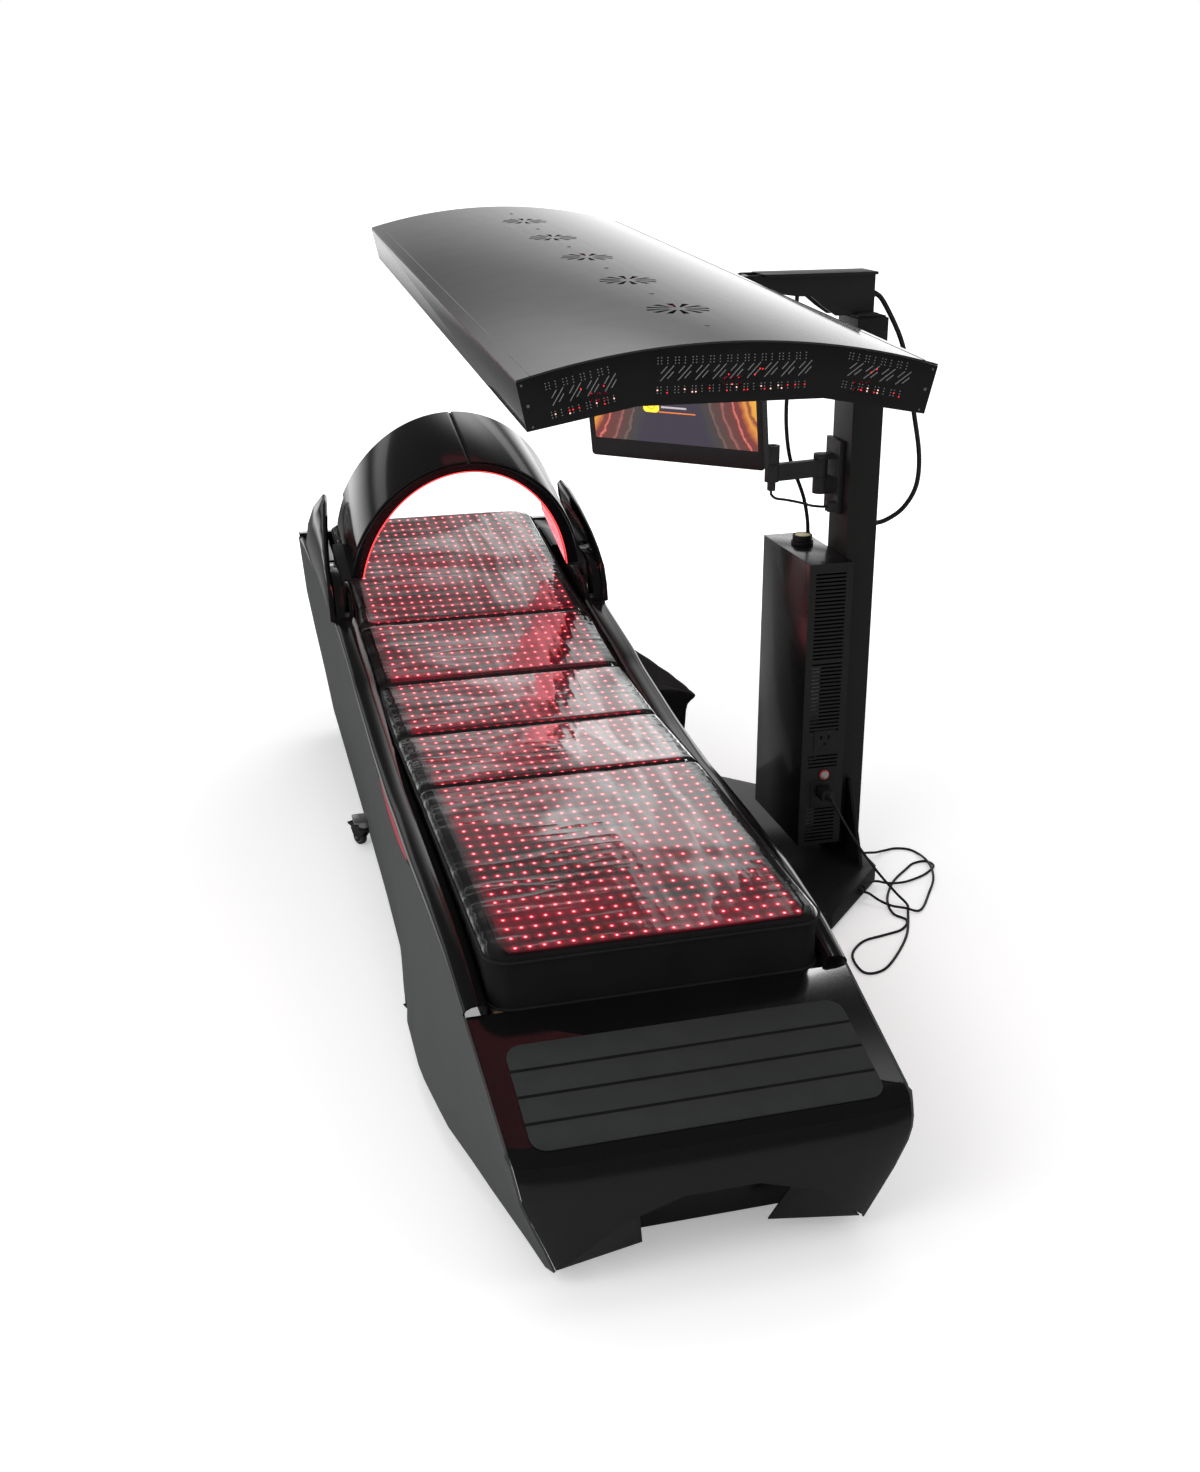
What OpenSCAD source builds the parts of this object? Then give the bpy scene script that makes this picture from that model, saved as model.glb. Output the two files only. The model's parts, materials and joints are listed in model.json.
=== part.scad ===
// Red light therapy bed: a mattress of red LEDs in a glossy shell on casters, with a hood over
// the chest and a second lamp canopy on a stand that also carries a cabinet and a screen.
// Lengths are in millimetres. X runs across the bed, Y from the foot to the head, Z up.
// The origin is on the floor, under the bed's centreline, at the middle of the stand's base.

/* [Mattress] */
// Width of the mattress
mat_w = 596; // [540:2:640]
// Thickness of the mattress
mat_t = 112; // [90:2:130]
// Height of the mattress top at the foot end
mat_h = 437; // [420:1:450]
// Length of the foot section
foot_sec = 695; // [660:5:730]
// Length of the calf section
calf_sec = 293; // [270:1:310]
// Length of the thigh section
thigh_sec = 298; // [280:1:320]
// Length of the waist section
waist_sec = 317; // [300:1:340]
// Length of the head section
head_sec = 655; // [630:5:690]
// Rise of the foot section towards the calf section
foot_rise = 20; // [10:1:24]
// Rise of the thigh section
thigh_rise = 20; // [12:1:24]
// Rise of the waist section
waist_rise = 51; // [40:1:56]
// Rise of the head section
head_rise = 117; // [95:1:125]
// Width of the LED mat
led_w = 540; // [500:2:560]
// Thickness of the LED mat
led_t = 3; // [2:0.5:4]
// Thickness of the clear vinyl cover
vinyl_t = 1; // [0.6:0.1:1.6]
// Depth of the sewn channels between the sections
seam_d = 7; // [3:0.5:10]

/* [Foot end] */
// Length of the sloping foot deck
deck_len = 332; // [310:2:350]
// Height of the deck plane where it meets the nose
deck_h = 246; // [236:1:252]
// Slope of the foot deck, degrees
deck_slope = 15; // [12:0.5:16]
// Half width of the nose at the floor
nose_low = 262; // [240:1:280]
// Half width of the nose at its edge
nose_mid = 324; // [316:1:330]
// Width of the anti-slip mat
tread_w = 582; // [520:2:596]
// Length of the anti-slip mat up the slope
tread_len = 220; // [190:2:236]
// Thickness of the anti-slip mat
tread_t = 3; // [2:0.5:4]
// Corner radius of the anti-slip mat
tread_r = 28; // [15:1:40]
// Number of grooves across the anti-slip mat
tread_grooves = 3; // [2:1:5]

/* [Shell] */
// Thickness of the moulded shells
shell_t = 4; // [3:0.5:5]
// Height of the shell's lower edge above the floor
shell_gap = 30; // [24:1:36]
// Rise of the shell's lower edge behind the nose
hem_rise = 27; // [24:1:34]
// Gap between neighbouring shells
shut_gap = 0.8; // [0.5:0.1:0.9]
// Length of each glow strip
glow_len = 430; // [300:5:470]
// Height of each glow strip
glow_h = 26; // [16:1:30]

/* [Chassis] */
// Side of the square chassis tube
rail_w = 40; // [30:1:44]
// Wall of the chassis tube
rail_wall = 2.5; // [2:0.25:3]
// Distance between the two long rails, centre to centre
rail_gap = 430; // [400:2:450]
// Height of the underside of the rails
rail_z = 78; // [76:1:84]

/* [Casters] */
// Diameter of the caster wheels
wheel_d = 40; // [36:1:42]
// Width of the caster wheels
wheel_w = 16; // [12:1:18]
// Trail of the wheel behind the swivel
trail = 22; // [18:1:26]
// Radius of the wheel axle
axle_r = 3; // [2.5:0.1:4]
// Running clearance of the pins, on the radius
pin_gap = 0.05; // [0.02:0.01:0.09]
// Distance of the casters from the centreline
caster_x = 330; // [322:1:334]

/* [Hood] */
// Inner half width of the hood
hood_a = 268; // [262:1:272]
// Inner height of the hood
hood_b = 347; // [325:1:360]
// Thickness of the hood at its crown
hood_t = 24; // [20:1:28]
// Length of the hood along the bed
hood_len = 281; // [250:1:300]
// Lean of the hood towards the foot at rest, degrees
hood_lean = 17; // [12:0.5:20]
// Height of the hood's pivot above the floor
pivot_h = 525; // [515:1:535]
// Radius of the hood's pivot pins
pivot_r = 9; // [7:0.5:11]

/* [Stand] */
// Width of the column
col_w = 72; // [64:1:80]
// Depth of the column
col_d = 107; // [96:1:116]
// Height of the top of the outer column
col_h = 1310; // [1250:5:1340]
// Wall of the column
col_wall = 4; // [3:0.5:5]
// Distance of the column's middle from the bed's centreline
col_x = 777; // [770:1:800]
// Thickness of the stand's base
base_t = 42; // [36:1:44]
// Height of the rubber feet
foot_h = 8; // [6:1:12]
// Travel of the lift
lift_travel = 150; // [100:5:200]

/* [Canopy] */
// Width of the canopy
can_w = 656; // [600:4:680]
// Length of the canopy
can_len = 1990; // [1850:10:2050]
// Rise of the canopy's curved top
can_crown = 46; // [36:1:54]
// Height of the canopy's side rails
can_side = 76; // [70:1:84]
// Height of the canopy's side top edge above the bracket
can_rise = 7; // [0:1:20]
// Distance of the canopy's middle from the bed's centreline
can_x = 135; // [120:1:140]
// Turn of the canopy about the vertical, degrees
can_yaw = -1.86; // [-2.2:0.1:0]
// Pitch of the canopy, degrees
can_pitch = 2.57; // [0:0.1:3]
// Distance between the fans
fan_pitch = 334; // [310:2:345]
// Radius of the fan grilles
fan_r = 53; // [44:1:58]

/* [Cabinet] */
// Width of the cabinet
cab_w = 105; // [96:1:112]
// Depth of the cabinet
cab_d = 292; // [270:2:310]
// Height of the cabinet's underside
cab_z = 98; // [90:1:110]
// Height of the cabinet itself
cab_h = 686; // [640:2:700]
// Wall of the cabinet's sheet metal
cab_wall = 2; // [1.5:0.25:3]
// Diameter of the power button's cap
button_d = 19; // [16:0.5:20]
// Travel of the power button
button_travel = 2.5; // [1.5:0.5:3]

/* [Screen] */
// Width of the screen's housing
mon_w = 400; // [360:2:410]
// Height of the screen's housing
mon_h = 244; // [220:2:250]
// Thickness of the screen's housing
mon_t = 28; // [20:1:34]
// Length of the arm's first link
link_len = 128; // [118:1:140]
// Radius of the arm's pivot posts
post_r = 8; // [6:0.5:10]

/* [Hidden] */

// Round surfaces that fit something use this many facets or more
fit_fn = 48;
// Clearance between soft or lofted neighbours
skin_gap = 0.5;
// Gap between a piece and its seat
seat_gap = 0.3;

// Stations along the bed, measured from the nose
seam_4 = deck_len + foot_sec;
seam_3 = seam_4 + calf_sec;
seam_2 = seam_3 + thigh_sec;
seam_1 = seam_2 + waist_sec;
mat_end = seam_1 + head_sec;
bed_end = mat_end + 54;
seams = [seam_4, seam_3, seam_2, seam_1];
// Heights of the mattress top at those stations
top_4 = mat_h + foot_rise;
top_2 = top_4 + thigh_rise;
top_1 = top_2 + waist_rise;
top_end = top_1 + head_rise;
top_line = [[0, mat_h - foot_rise / 2], [deck_len, mat_h], [seam_4, top_4], [seam_3, top_4 + 2],
    [seam_2, top_2], [seam_1, top_1], [mat_end, top_end], [mat_end + 100, top_end + 18]];

// The model is drawn from the nose and moved so that the stand's base is at the origin
base_y = seam_3 + 130;

function top_at(y) = lookup(y, top_line);
function deck_at(y) = deck_h + y * tan(deck_slope);
function unit(v) = v / norm(v);
function mix(a, b, t) = a + (b - a) * t;

// Shell lines, as station, half width beyond the mattress and depth below its top
sheer_line = [[deck_len, 43, mat_h - deck_at(deck_len)], [deck_len + foot_sec * 0.18, 46, 76],
    [deck_len + foot_sec * 0.41, 50, 64], [deck_len + foot_sec * 0.72, 54, 60],
    [seam_4 + calf_sec * 0.3, 54, 58], [seam_3 + 50, 53, 36], [seam_2 + 80, 52, 8],
    [seam_1, 53, 12], [seam_1 + head_sec * 0.5, 66, 24], [mat_end - 90, 75, 38],
    [bed_end - 16, 78, 62]];
hem_line = [[0, nose_low], [deck_len * 0.33, nose_low + 18], [deck_len * 0.8, nose_low + 56],
    [deck_len + 117, nose_low + 98], [deck_len + 290, nose_low + 115],
    [deck_len + 470, nose_low + 111], [deck_len + 635, nose_low + 94],
    [seam_4 + 75, nose_low + 78], [seam_3 + 80, nose_low + 69], [seam_2 + 180, nose_low + 61],
    [bed_end, nose_low + 47]];
nose_run = 34;
nose_top_w = mat_w / 2 + 34;
function sheer_w(y) = y < deck_len
    ? mix(nose_top_w, mat_w / 2 + sheer_line[0][1], (y - nose_run) / (deck_len - nose_run))
    : mat_w / 2 + lookup(y, [for (p = sheer_line) [p[0], p[1]]]);
function sheer_z(y) = y < deck_len ? deck_at(y)
    : top_at(y) - lookup(y, [for (p = sheer_line) [p[0], p[2]]]);
function hem_w(y) = lookup(y, hem_line);
function hem_z(y) = shell_gap + hem_rise * lookup(y, [[120, 0], [deck_len, 0.7], [deck_len + 150, 1]]);

// Outline of the nose as height, set-back and half width
nose_line = [[shell_gap, 27, nose_low], [deck_h * 0.34, 15, mix(nose_low, nose_mid, 0.3)],
    [deck_h * 0.55, 6, mix(nose_low, nose_mid, 0.62)], [deck_h * 0.76, 1, mix(nose_low, nose_mid, 0.92)],
    [deck_h * 0.86, 0, nose_mid], [deck_h * 0.93, 5, mix(nose_mid, nose_top_w, 0.4)],
    [deck_h * 0.995, 16, mix(nose_mid, nose_top_w, 0.75)], [deck_at(nose_run), nose_run, nose_top_w]];

// A thin wall between an outer and an inner grid of points
module skin(outer, inner) {
    m = len(outer);
    n = len(outer[0]);
    points = concat([for (r = outer) each r], [for (r = inner) each r]);
    function o(s, k) = s * n + k;
    function i(s, k) = (m + s) * n + k;
    faces = concat(
        [for (s = [0:m - 2], k = [0:n - 2]) each [[o(s, k), o(s, k + 1), o(s + 1, k + 1)],
            [o(s, k), o(s + 1, k + 1), o(s + 1, k)], [i(s, k), i(s + 1, k + 1), i(s, k + 1)],
            [i(s, k), i(s + 1, k), i(s + 1, k + 1)]]],
        [for (s = [0:m - 2]) each [[o(s, 0), o(s + 1, 0), i(s + 1, 0)], [o(s, 0), i(s + 1, 0), i(s, 0)],
            [o(s, n - 1), i(s + 1, n - 1), o(s + 1, n - 1)],
            [o(s, n - 1), i(s, n - 1), i(s + 1, n - 1)]]],
        [for (k = [0:n - 2]) each [[o(0, k), i(0, k), i(0, k + 1)], [o(0, k), i(0, k + 1), o(0, k + 1)],
            [o(m - 1, k), i(m - 1, k + 1), i(m - 1, k)],
            [o(m - 1, k), o(m - 1, k + 1), i(m - 1, k + 1)]]]);
    polyhedron(points, faces);
}

// A closed body through rings of points, with a fan over each end
module loft(rings) {
    m = len(rings);
    n = len(rings[0]);
    function middle(r) = [for (a = [0:2]) [for (p = r) p[a]] * [for (p = r) 1] / n];
    points = concat([for (r = rings) each r], [middle(rings[0]), middle(rings[m - 1])]);
    faces = concat(
        [for (s = [0:m - 2], k = [0:n - 1]) let (q = (k + 1) % n) each
            [[s * n + k, s * n + q, (s + 1) * n + q], [s * n + k, (s + 1) * n + q, (s + 1) * n + k]]],
        [for (k = [0:n - 1]) let (q = (k + 1) % n) each
            [[m * n, q, k], [m * n + 1, (m - 1) * n + k, (m - 1) * n + q]]]);
    polyhedron(points, faces);
}

// A grid of points moved inwards by t along its normals
function backed(g, t) = let (m = len(g) - 1, n = len(g[0]) - 1) [for (s = [0:m]) [for (k = [0:n])
    g[s][k] - t * unit(cross(g[min(s + 1, m)][k] - g[max(s - 1, 0)][k],
    g[s][min(k + 1, n)] - g[s][max(k - 1, 0)]))]];

// A polygon's points with every corner rounded
function arc_corner(a, b, c, r, n) = let (u = unit(a - b), v = unit(c - b), h = acos(u * v) / 2,
    p = b + u * r / tan(h), q = b + v * r / tan(h), m = b + unit(u + v) * r / sin(h),
    s = atan2(p[1] - m[1], p[0] - m[0]), e = atan2(q[1] - m[1], q[0] - m[0]),
    turn = e - s > 180 ? e - s - 360 : e - s < -180 ? e - s + 360 : e - s)
    [for (i = [0:n]) m + r * [cos(s + turn * i / n), sin(s + turn * i / n)]];
function rounded(pts, r, n = 5) = let (k = len(pts)) [for (i = [0:k - 1])
    each arc_corner(pts[(i + k - 1) % k], pts[i], pts[(i + 1) % k], r, n)];
function box_points(w, h) = [[-w / 2, -h / 2], [w / 2, -h / 2], [w / 2, h / 2], [-w / 2, h / 2]];

// Sweep of a round tube along a route
function along(p) = [for (i = [0:len(p) - 1])
    unit(p[min(i + 1, len(p) - 1)] - p[max(i - 1, 0)])];
function carry(t, n, i = 0) = i >= len(t) ? [] : let (m = unit(n - t[i] * (n * t[i])))
    concat([m], carry(t, m, i + 1));
function curve_point(p, i, t) = let (a = p[max(i - 1, 0)], b = p[i], c = p[i + 1],
    d = p[min(i + 2, len(p) - 1)])
    0.5 * (2 * b + (c - a) * t + (2 * a - 5 * b + 4 * c - d) * t * t
    + (3 * b - a - 3 * c + d) * t * t * t);
function curve(p, steps) = concat([for (i = [0:len(p) - 2], j = [0:steps - 1])
    curve_point(p, i, j / steps)], [p[len(p) - 1]]);
module tube(route, r, sides, steps = 2) {
    p = curve(route, steps);
    t = along(p);
    n = carry(t, unit(cross(t[0], [0.13, 0.21, 0.97])));
    loft([for (i = [0:len(p) - 1]) let (b = cross(t[i], n[i]))
        [for (k = [0:sides - 1]) p[i] + r * (cos(-360 * k / sides) * n[i] + sin(-360 * k / sides) * b)]]);
}

// From the nose's frame to the model's frame
module place() {
    translate([0, -base_y, 0]) children();
}

module both_sides() {
    children();
    mirror([1, 0, 0]) children();
}

// Square tube along Y
module tube_y(x, y, z, len, w, wall) {
    translate([x, y, z]) difference() {
        translate([-w / 2, 0, 0]) cube([w, len, w]);
        translate([-w / 2 + wall, -1, wall]) cube([w - 2 * wall, len + 2, w - 2 * wall]);
    }
}
// Square tube along X
module tube_x(x, y, z, len, w, wall) {
    translate([x, y, z]) difference() {
        translate([0, -w / 2, 0]) cube([len, w, w]);
        translate([-1, -w / 2 + wall, wall]) cube([len + 2, w - 2 * wall, w - 2 * wall]);
    }
}

// A plate drawn from the side: (y, z) points, between two places across the bed
module side_cut(x0, x1) {
    translate([x0, 0, 0]) rotate([90, 0, 90]) linear_extrude(x1 - x0) children();
}
// A plate drawn from the foot: (x, z) points, between two stations
module end_cut(y0, y1) {
    translate([0, y1, 0]) rotate([90, 0, 0]) linear_extrude(y1 - y0) children();
}
// A plate with rounded corners
module plate(w, h, t, r) {
    linear_extrude(t) polygon(rounded(box_points(w, h), r));
}
// A round bar along X, or along Y
module bar_x(r, len) {
    rotate([0, 90, 0]) cylinder(r = r, h = len, $fn = fit_fn);
}
module bar_y(r, len) {
    rotate([-90, 0, 0]) cylinder(r = r, h = len, $fn = fit_fn);
}

/* Chassis */
frame_y = 110;
frame_end = mat_end - 60;
caster_ys = [deck_len + 506, seam_2 + 152];
caster_dirs = [120, 60];
deck_leg_y = frame_y + 40;
board_t = 15;
bracket_t = 5;
function board_top(y) = top_at(y) - mat_t - skin_gap;
function under_board(y) = board_top(y) - board_t - seat_gap;
function under_deck(y) = deck_at(y) - shell_t / cos(deck_slope) - seat_gap;

// A post of chassis tube whose top follows the slope above it
module post(x, y, low, mid, high) {
    s = rail_w / 2;
    z0 = rail_z + rail_w;
    difference() {
        side_cut(x - s, x + s)
            polygon([[y - s, z0], [y + s, z0], [y + s, high], [y, mid], [y - s, low]]);
        translate([x - s + rail_wall, y - s + rail_wall, z0 - 1])
            cube([rail_w - 2 * rail_wall, rail_w - 2 * rail_wall, mat_h + head_rise]);
    }
}

module bed_frame() {
    rung_len = rail_gap - rail_w;
    side_x = rail_gap / 2 + rail_w / 2;
    s = rail_w / 2;
    function tray_x(y) = min(panel_w(y - s, rail_z), panel_w(y + s, rail_z)) - shell_t - 2;
    function reach_x(y) = min(panel_w(y - s, rail_z + rail_w), panel_w(y + s, rail_z + rail_w))
        - shell_t - 0.8;
    color("dimgray") place() {
        both_sides() tube_y(rail_gap / 2, frame_y, rail_z, frame_end - frame_y, rail_w, rail_wall);
        for (y = [frame_y + 60, deck_len + 230, seam_1 + 60, frame_end - 40])
            tube_x(-rung_len / 2, y, rail_z, rung_len, rail_w, rail_wall);
        for (y = caster_ys) both_sides() {
            tube_x(side_x, y, rail_z, min(caster_x + 14, tray_x(y)) - side_x, rail_w, rail_wall);
            // Bracket that reaches the side panel
            translate([side_x, y - s, rail_z + rail_w]) cube([reach_x(y) - side_x, rail_w, bracket_t]);
        }
        both_sides() post(rail_gap / 2, deck_leg_y, under_deck(deck_leg_y - s),
            under_deck(deck_leg_y), under_deck(deck_leg_y + s));
        for (y = [deck_len + 60, seam_4, seam_2, mat_end - 90]) both_sides()
            post(rail_gap / 2, y, under_board(y - s), under_board(y), under_board(y + s));
    }
}

module mattress_board() {
    ys = concat([deck_len + 8], seams, [mat_end - 6]);
    half = mat_w / 2 - 12;
    color("tan") place() skin(
        [for (y = ys) [[half, y, board_top(y)], [-half, y, board_top(y)]]],
        [for (y = ys) [[half, y, board_top(y) - board_t], [-half, y, board_top(y) - board_t]]]);
}

/* Shell */
panel_chart = [for (p = nose_line) [(p[0] - shell_gap) / (deck_at(nose_run) - shell_gap),
    (p[2] - nose_low) / (nose_top_w - nose_low)]];
function panel_w(y, z) =
    mix(hem_w(y), sheer_w(y), lookup((z - hem_z(y)) / (sheer_z(y) - hem_z(y)), panel_chart));
glow_mid = seam_4 + 3;
function glow_dip(y) = glow_h * max(0, 1 - pow((y - glow_mid) / (glow_len / 2 + 12), 2));
nose_round = 14;
caster_arch = 47;
panel_end = bed_end - 4;
panel_ys = concat([for (i = [0:4]) mix(60, deck_len, i / 4)],
    [for (i = [1:44]) mix(deck_len, panel_end, i / 44)]);

module side_panel() {
    front = [for (p = nose_line) [p[2], p[1] + nose_round + shut_gap, p[0]]];
    rings = concat([front], [for (y = panel_ys) [for (c = panel_chart)
        let (z = mix(hem_z(y), sheer_z(y) - glow_dip(y), c[0])) [panel_w(y, z), y, z]]]);
    color([0.16, 0.16, 0.17]) place() difference() {
        skin(rings, backed(rings, shell_t));
        // Arches over the casters
        for (y = caster_ys) translate([caster_x, y, 0])
            cylinder(r = caster_arch, h = rail_z + seat_gap, $fn = fit_fn);
    }
}

module side_panel_right() {
    side_panel();
}

module side_panel_left() {
    mirror([1, 0, 0]) side_panel();
}

// One stretch of the band that closes the space between a side panel and the mattress
band_t = 3;
module side_band(y0, y1) {
    xi = mat_w / 2 + skin_gap;
    ys = concat([y0], [for (y = panel_ys) if (y > y0 + 2 && y < y1 - 2) y], [y1]);
    rings = [for (y = ys) let (w = sheer_w(y), z = sheer_z(y))
        [[w, y, z + shut_gap], [w, y, z + 5], [w - 4, y, z + 11], [mix(w, xi, 0.35), y, z + 16],
            [xi + 8, y, z + 18], [xi + 1, y, z + 14], [xi, y, z + 6], [xi, y, z - 24]]];
    skin(rings, backed(rings, band_t));
}

module side_bands() {
    color([0.05, 0.05, 0.05]) place() both_sides() {
        side_band(deck_len + 2, pod_y0 - shut_gap);
        side_band(fin_y1 + shut_gap, mat_end + 4);
    }
}

foot_ts = [0.1, 0.35, 0.6, 0.8, 1];
// The foot shell's profile as station, height, half width and how far its corners are rounded
foot_line = concat(
    [for (i = [0:len(nose_line) - 1]) let (p = nose_line[i])
        [p[1], p[0], p[2], i < len(nose_line) - 1 ? 1 : 0.5]],
    [for (t = foot_ts) let (y = mix(nose_run, deck_len - shut_gap, t)) [y, deck_at(y), sheer_w(y), 0]]);
foot_fs = [1, 0.985, 0.96, 0.9, 0.75, 0.45, 0, -0.45, -0.75, -0.9, -0.96, -0.985, -1];
// Cut-out at the front, where the toes go: half width and height
toe_line = [[262, shell_gap - 10], [258, 38], [166, 128], [134, 138], [62, 163]];
toe_outline = concat(toe_line, [for (i = [len(toe_line) - 1:-1:0]) [-toe_line[i][0], toe_line[i][1]]]);

module foot_shell() {
    edge = shell_t + shut_gap;
    rings = [for (p = foot_line) [for (f = foot_fs)
        [f * (p[2] - edge), p[0] + p[3] * nose_round * pow(abs(f), 8), p[1]]]];
    color([0.03, 0.03, 0.03]) place() difference() {
        skin(rings, backed(rings, shell_t));
        end_cut(-10, 60) polygon(toe_outline);
    }
}

module foot_deck_mat() {
    start = 42;
    groove = 6;
    color([0.45, 0.47, 0.47]) place() translate([0, start, deck_at(start) + seat_gap])
        rotate([deck_slope, 0, 0]) difference() {
        translate([0, tread_len / 2, 0]) plate(tread_w, tread_len, tread_t, tread_r);
        for (i = [1:tread_grooves])
            translate([-tread_w / 2 - 1, tread_len * i / (tread_grooves + 1) - groove / 2, tread_t * 0.6])
                cube([tread_w + 2, groove, tread_t]);
    }
}

module toe_kick_panel() {
    facet = [[[-107, 76, 31], [-256, 45, 31]], [[-130, 20, 146], [-172, 11.6, 132]]];
    plate_t = 3;
    color([0.2, 0.2, 0.2]) place() {
        both_sides() skin(facet, backed(facet, plate_t));
        translate([-rail_gap / 2 - 10, frame_y - seat_gap - plate_t, shell_gap + 4])
            cube([rail_gap + 20, plate_t, rail_z + rail_w - shell_gap + 40]);
    }
}

module head_shell() {
    top = sheer_z(panel_end);
    line = [[bed_end + 2, hem_z(panel_end)], [bed_end + 8, 180], [bed_end + 10, top * 0.68],
        [bed_end + 6, top - 14], [bed_end - 1, top + 10], [bed_end - 14, top + 17],
        [mat_end + 6, top + 20]];
    rings = [for (p = line)
        let (w = p[1] < top ? panel_w(panel_end, p[1]) - shell_t - shut_gap : sheer_w(panel_end) - 2)
        [for (f = foot_fs) [-f * w, p[0] - 10 * pow(abs(f), 8) * (p[1] < top ? 0.4 : 0), p[1]]]];
    color([0.04, 0.04, 0.04]) place() skin(rings, backed(rings, shell_t));
}

module glow_strips() {
    rings = [for (y = panel_ys) if (abs(y - glow_mid) < glow_len / 2)
        let (z0 = sheer_z(y) - glow_dip(y) + skin_gap, z1 = sheer_z(y) - skin_gap)
        [for (t = [0, 0.5, 1]) let (z = mix(z0, z1, t)) [panel_w(y, z) - 0.5, y, z]]];
    color([0.9, 0.1, 0.15]) place() both_sides() skin(rings, backed(rings, 3));
}

/* Mattress */
function seam_dip(y) = seam_d * max([for (s = seams) exp(-pow((y - s) / 9, 2))]);
mat_r = 46;
// Half width at a station: the two ends are rounded in plan, and the head end is a little narrower
function mat_half(y) = let (e = min(y - deck_len, mat_end - y), d = max(mat_r - e, 0),
    head = min(max((y - seam_1) / 130, 0), 1) * 10)
    mat_w / 2 - head - mat_r + sqrt(mat_r * mat_r - d * d);
function core_top(y) = top_at(y) - led_t - vinyl_t - 2 * skin_gap - seam_dip(y);
mat_ys = concat([deck_len + 1, deck_len + 6, deck_len + 18, deck_len + mat_r],
    [for (s = seams) each [s - 60, s - 12, s, s + 12, s + 60]],
    [seam_1 + 200, seam_1 + 400, mat_end - mat_r, mat_end - 18, mat_end - 6, mat_end - 1]);

module mattress_core() {
    color([0.07, 0.07, 0.08]) place() loft([for (y = mat_ys) let (w = mat_half(y),
        t = core_top(y), b = top_at(y) - mat_t, in = 5 + seam_dip(y) * 0.8)
        [for (p = [[w - 22, b], [w - 6, b + 3], [w - in, b + 22], [w - in - 1, (t + b) / 2],
            [w - in + 4, t - 22], [w, t - 11], [w - 10, t - 2], [w - 60, t], [0, t], [60 - w, t],
            [10 - w, t - 2], [-w, t - 11], [in - w - 4, t - 22], [in - w + 1, (t + b) / 2],
            [in - w, b + 22], [6 - w, b + 3], [22 - w, b]]) [p[0], y, p[1]]]]);
}

// Stations for the two sheets that lie on the mattress
sheet_ys = concat([deck_len + 14, deck_len + mat_r],
    [for (s = seams) each [s - 60, s - 12, s, s + 12, s + 60]],
    [seam_1 + 200, seam_1 + 400, mat_end - mat_r, mat_end - 16]);
function sheet_top(y) = top_at(y) - seam_dip(y);

module led_mat() {
    rings = [for (y = sheet_ys)
        let (w = min(led_w / 2, mat_half(y) - 28), z = sheet_top(y) - vinyl_t - skin_gap)
        [[w, y, z], [w / 2, y, z], [-w / 2, y, z], [-w, y, z]]];
    color([0.2, 0.2, 0.21]) place() skin(rings, [for (r = rings) [for (p = r) p - [0, 0, led_t]]]);
}

module vinyl_cover() {
    rings = [for (y = sheet_ys) let (w = mat_half(y), z = sheet_top(y))
        [[w - 1, y, z - 12], [w - 8, y, z - 3], [w - 26, y, z], [0, y, z], [26 - w, y, z],
            [8 - w, y, z - 3], [1 - w, y, z - 12]]];
    color([0.7, 0.75, 0.75, 0.4]) place() skin(rings, [for (r = rings) [for (p = r) p - [0, 0, vinyl_t]]]);
}

/* Hood */
hood_y = seam_1 + 111;
hood_y0 = 20;
hood_zc = 31.5;
hood_cut = 95;
hood_side = 34;
hood_skin = 5;
rim_t = 5;
pod_x0 = mat_w / 2 + 4;
pod_w = 44;
pod_y0 = hood_y - 71;
slot_x0 = pod_x0 + 10;
slot_w = 12;
arm_t = 8;
arm_x = slot_x0 + 2;
pod_low = -52;
pod_line = [[-71, pod_low], [-71, -25], [-64, 35], [-36, 85], [14, 108], [59, 112], [124, 108],
    [194, 78], [254, 24], [284, -22], [284, pod_low]];
// The inner cheek is lower, because the hood's arms pass over it
cheek_line = [[-71, pod_low], [-71, -25], [-62, 30], [-30, 60], [14, 72], [60, 75], [124, 75],
    [194, 70], [254, 24], [284, -22], [284, pod_low]];

module hood_place() {
    place() translate([0, hood_y, pivot_h]) rotate([hood_lean, 0, 0]) children();
}

// Points on an ellipse about the hood's centre, from angle a0 to a1
function hood_arc(a, b, a0, a1, n) =
    [for (i = [0:n]) let (t = mix(a0, a1, i / n)) [a * cos(t), hood_zc + b * sin(t)]];
function cut_angle(b) = asin((hood_cut - hood_zc) / b);
function hood_band(ai, bi, ao, bo, n) = concat(hood_arc(ao, bo, cut_angle(bo), 180 - cut_angle(bo), n),
    hood_arc(ai, bi, 180 - cut_angle(bi), cut_angle(bi), n));
hood_ao = hood_a + hood_side;
hood_bo = hood_b + hood_t;

module arch_shell() {
    far = hood_y0 + hood_len;
    color([0.03, 0.03, 0.03]) hood_place() {
        end_cut(hood_y0, far)
            polygon(hood_band(hood_ao - hood_skin, hood_bo - hood_skin, hood_ao, hood_bo, 32));
        end_cut(hood_y0, hood_y0 + rim_t)
            polygon(hood_band(hood_a, hood_b, hood_ao - hood_skin, hood_bo - hood_skin, 32));
        end_cut(far - rim_t, far)
            polygon(hood_band(hood_a, hood_b, hood_ao - hood_skin, hood_bo - hood_skin, 32));
    }
}

module arch_liner() {
    liner_t = 2.5;
    far = hood_y0 + hood_len;
    color([1, 0.3, 0.4, 0.8]) hood_place() end_cut(hood_y0 + rim_t + seat_gap, far - rim_t - seat_gap)
        polygon(hood_band(hood_a + 1, hood_b + 1, hood_a + 1 + liner_t, hood_b + 1 + liner_t, 32));
}

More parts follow.
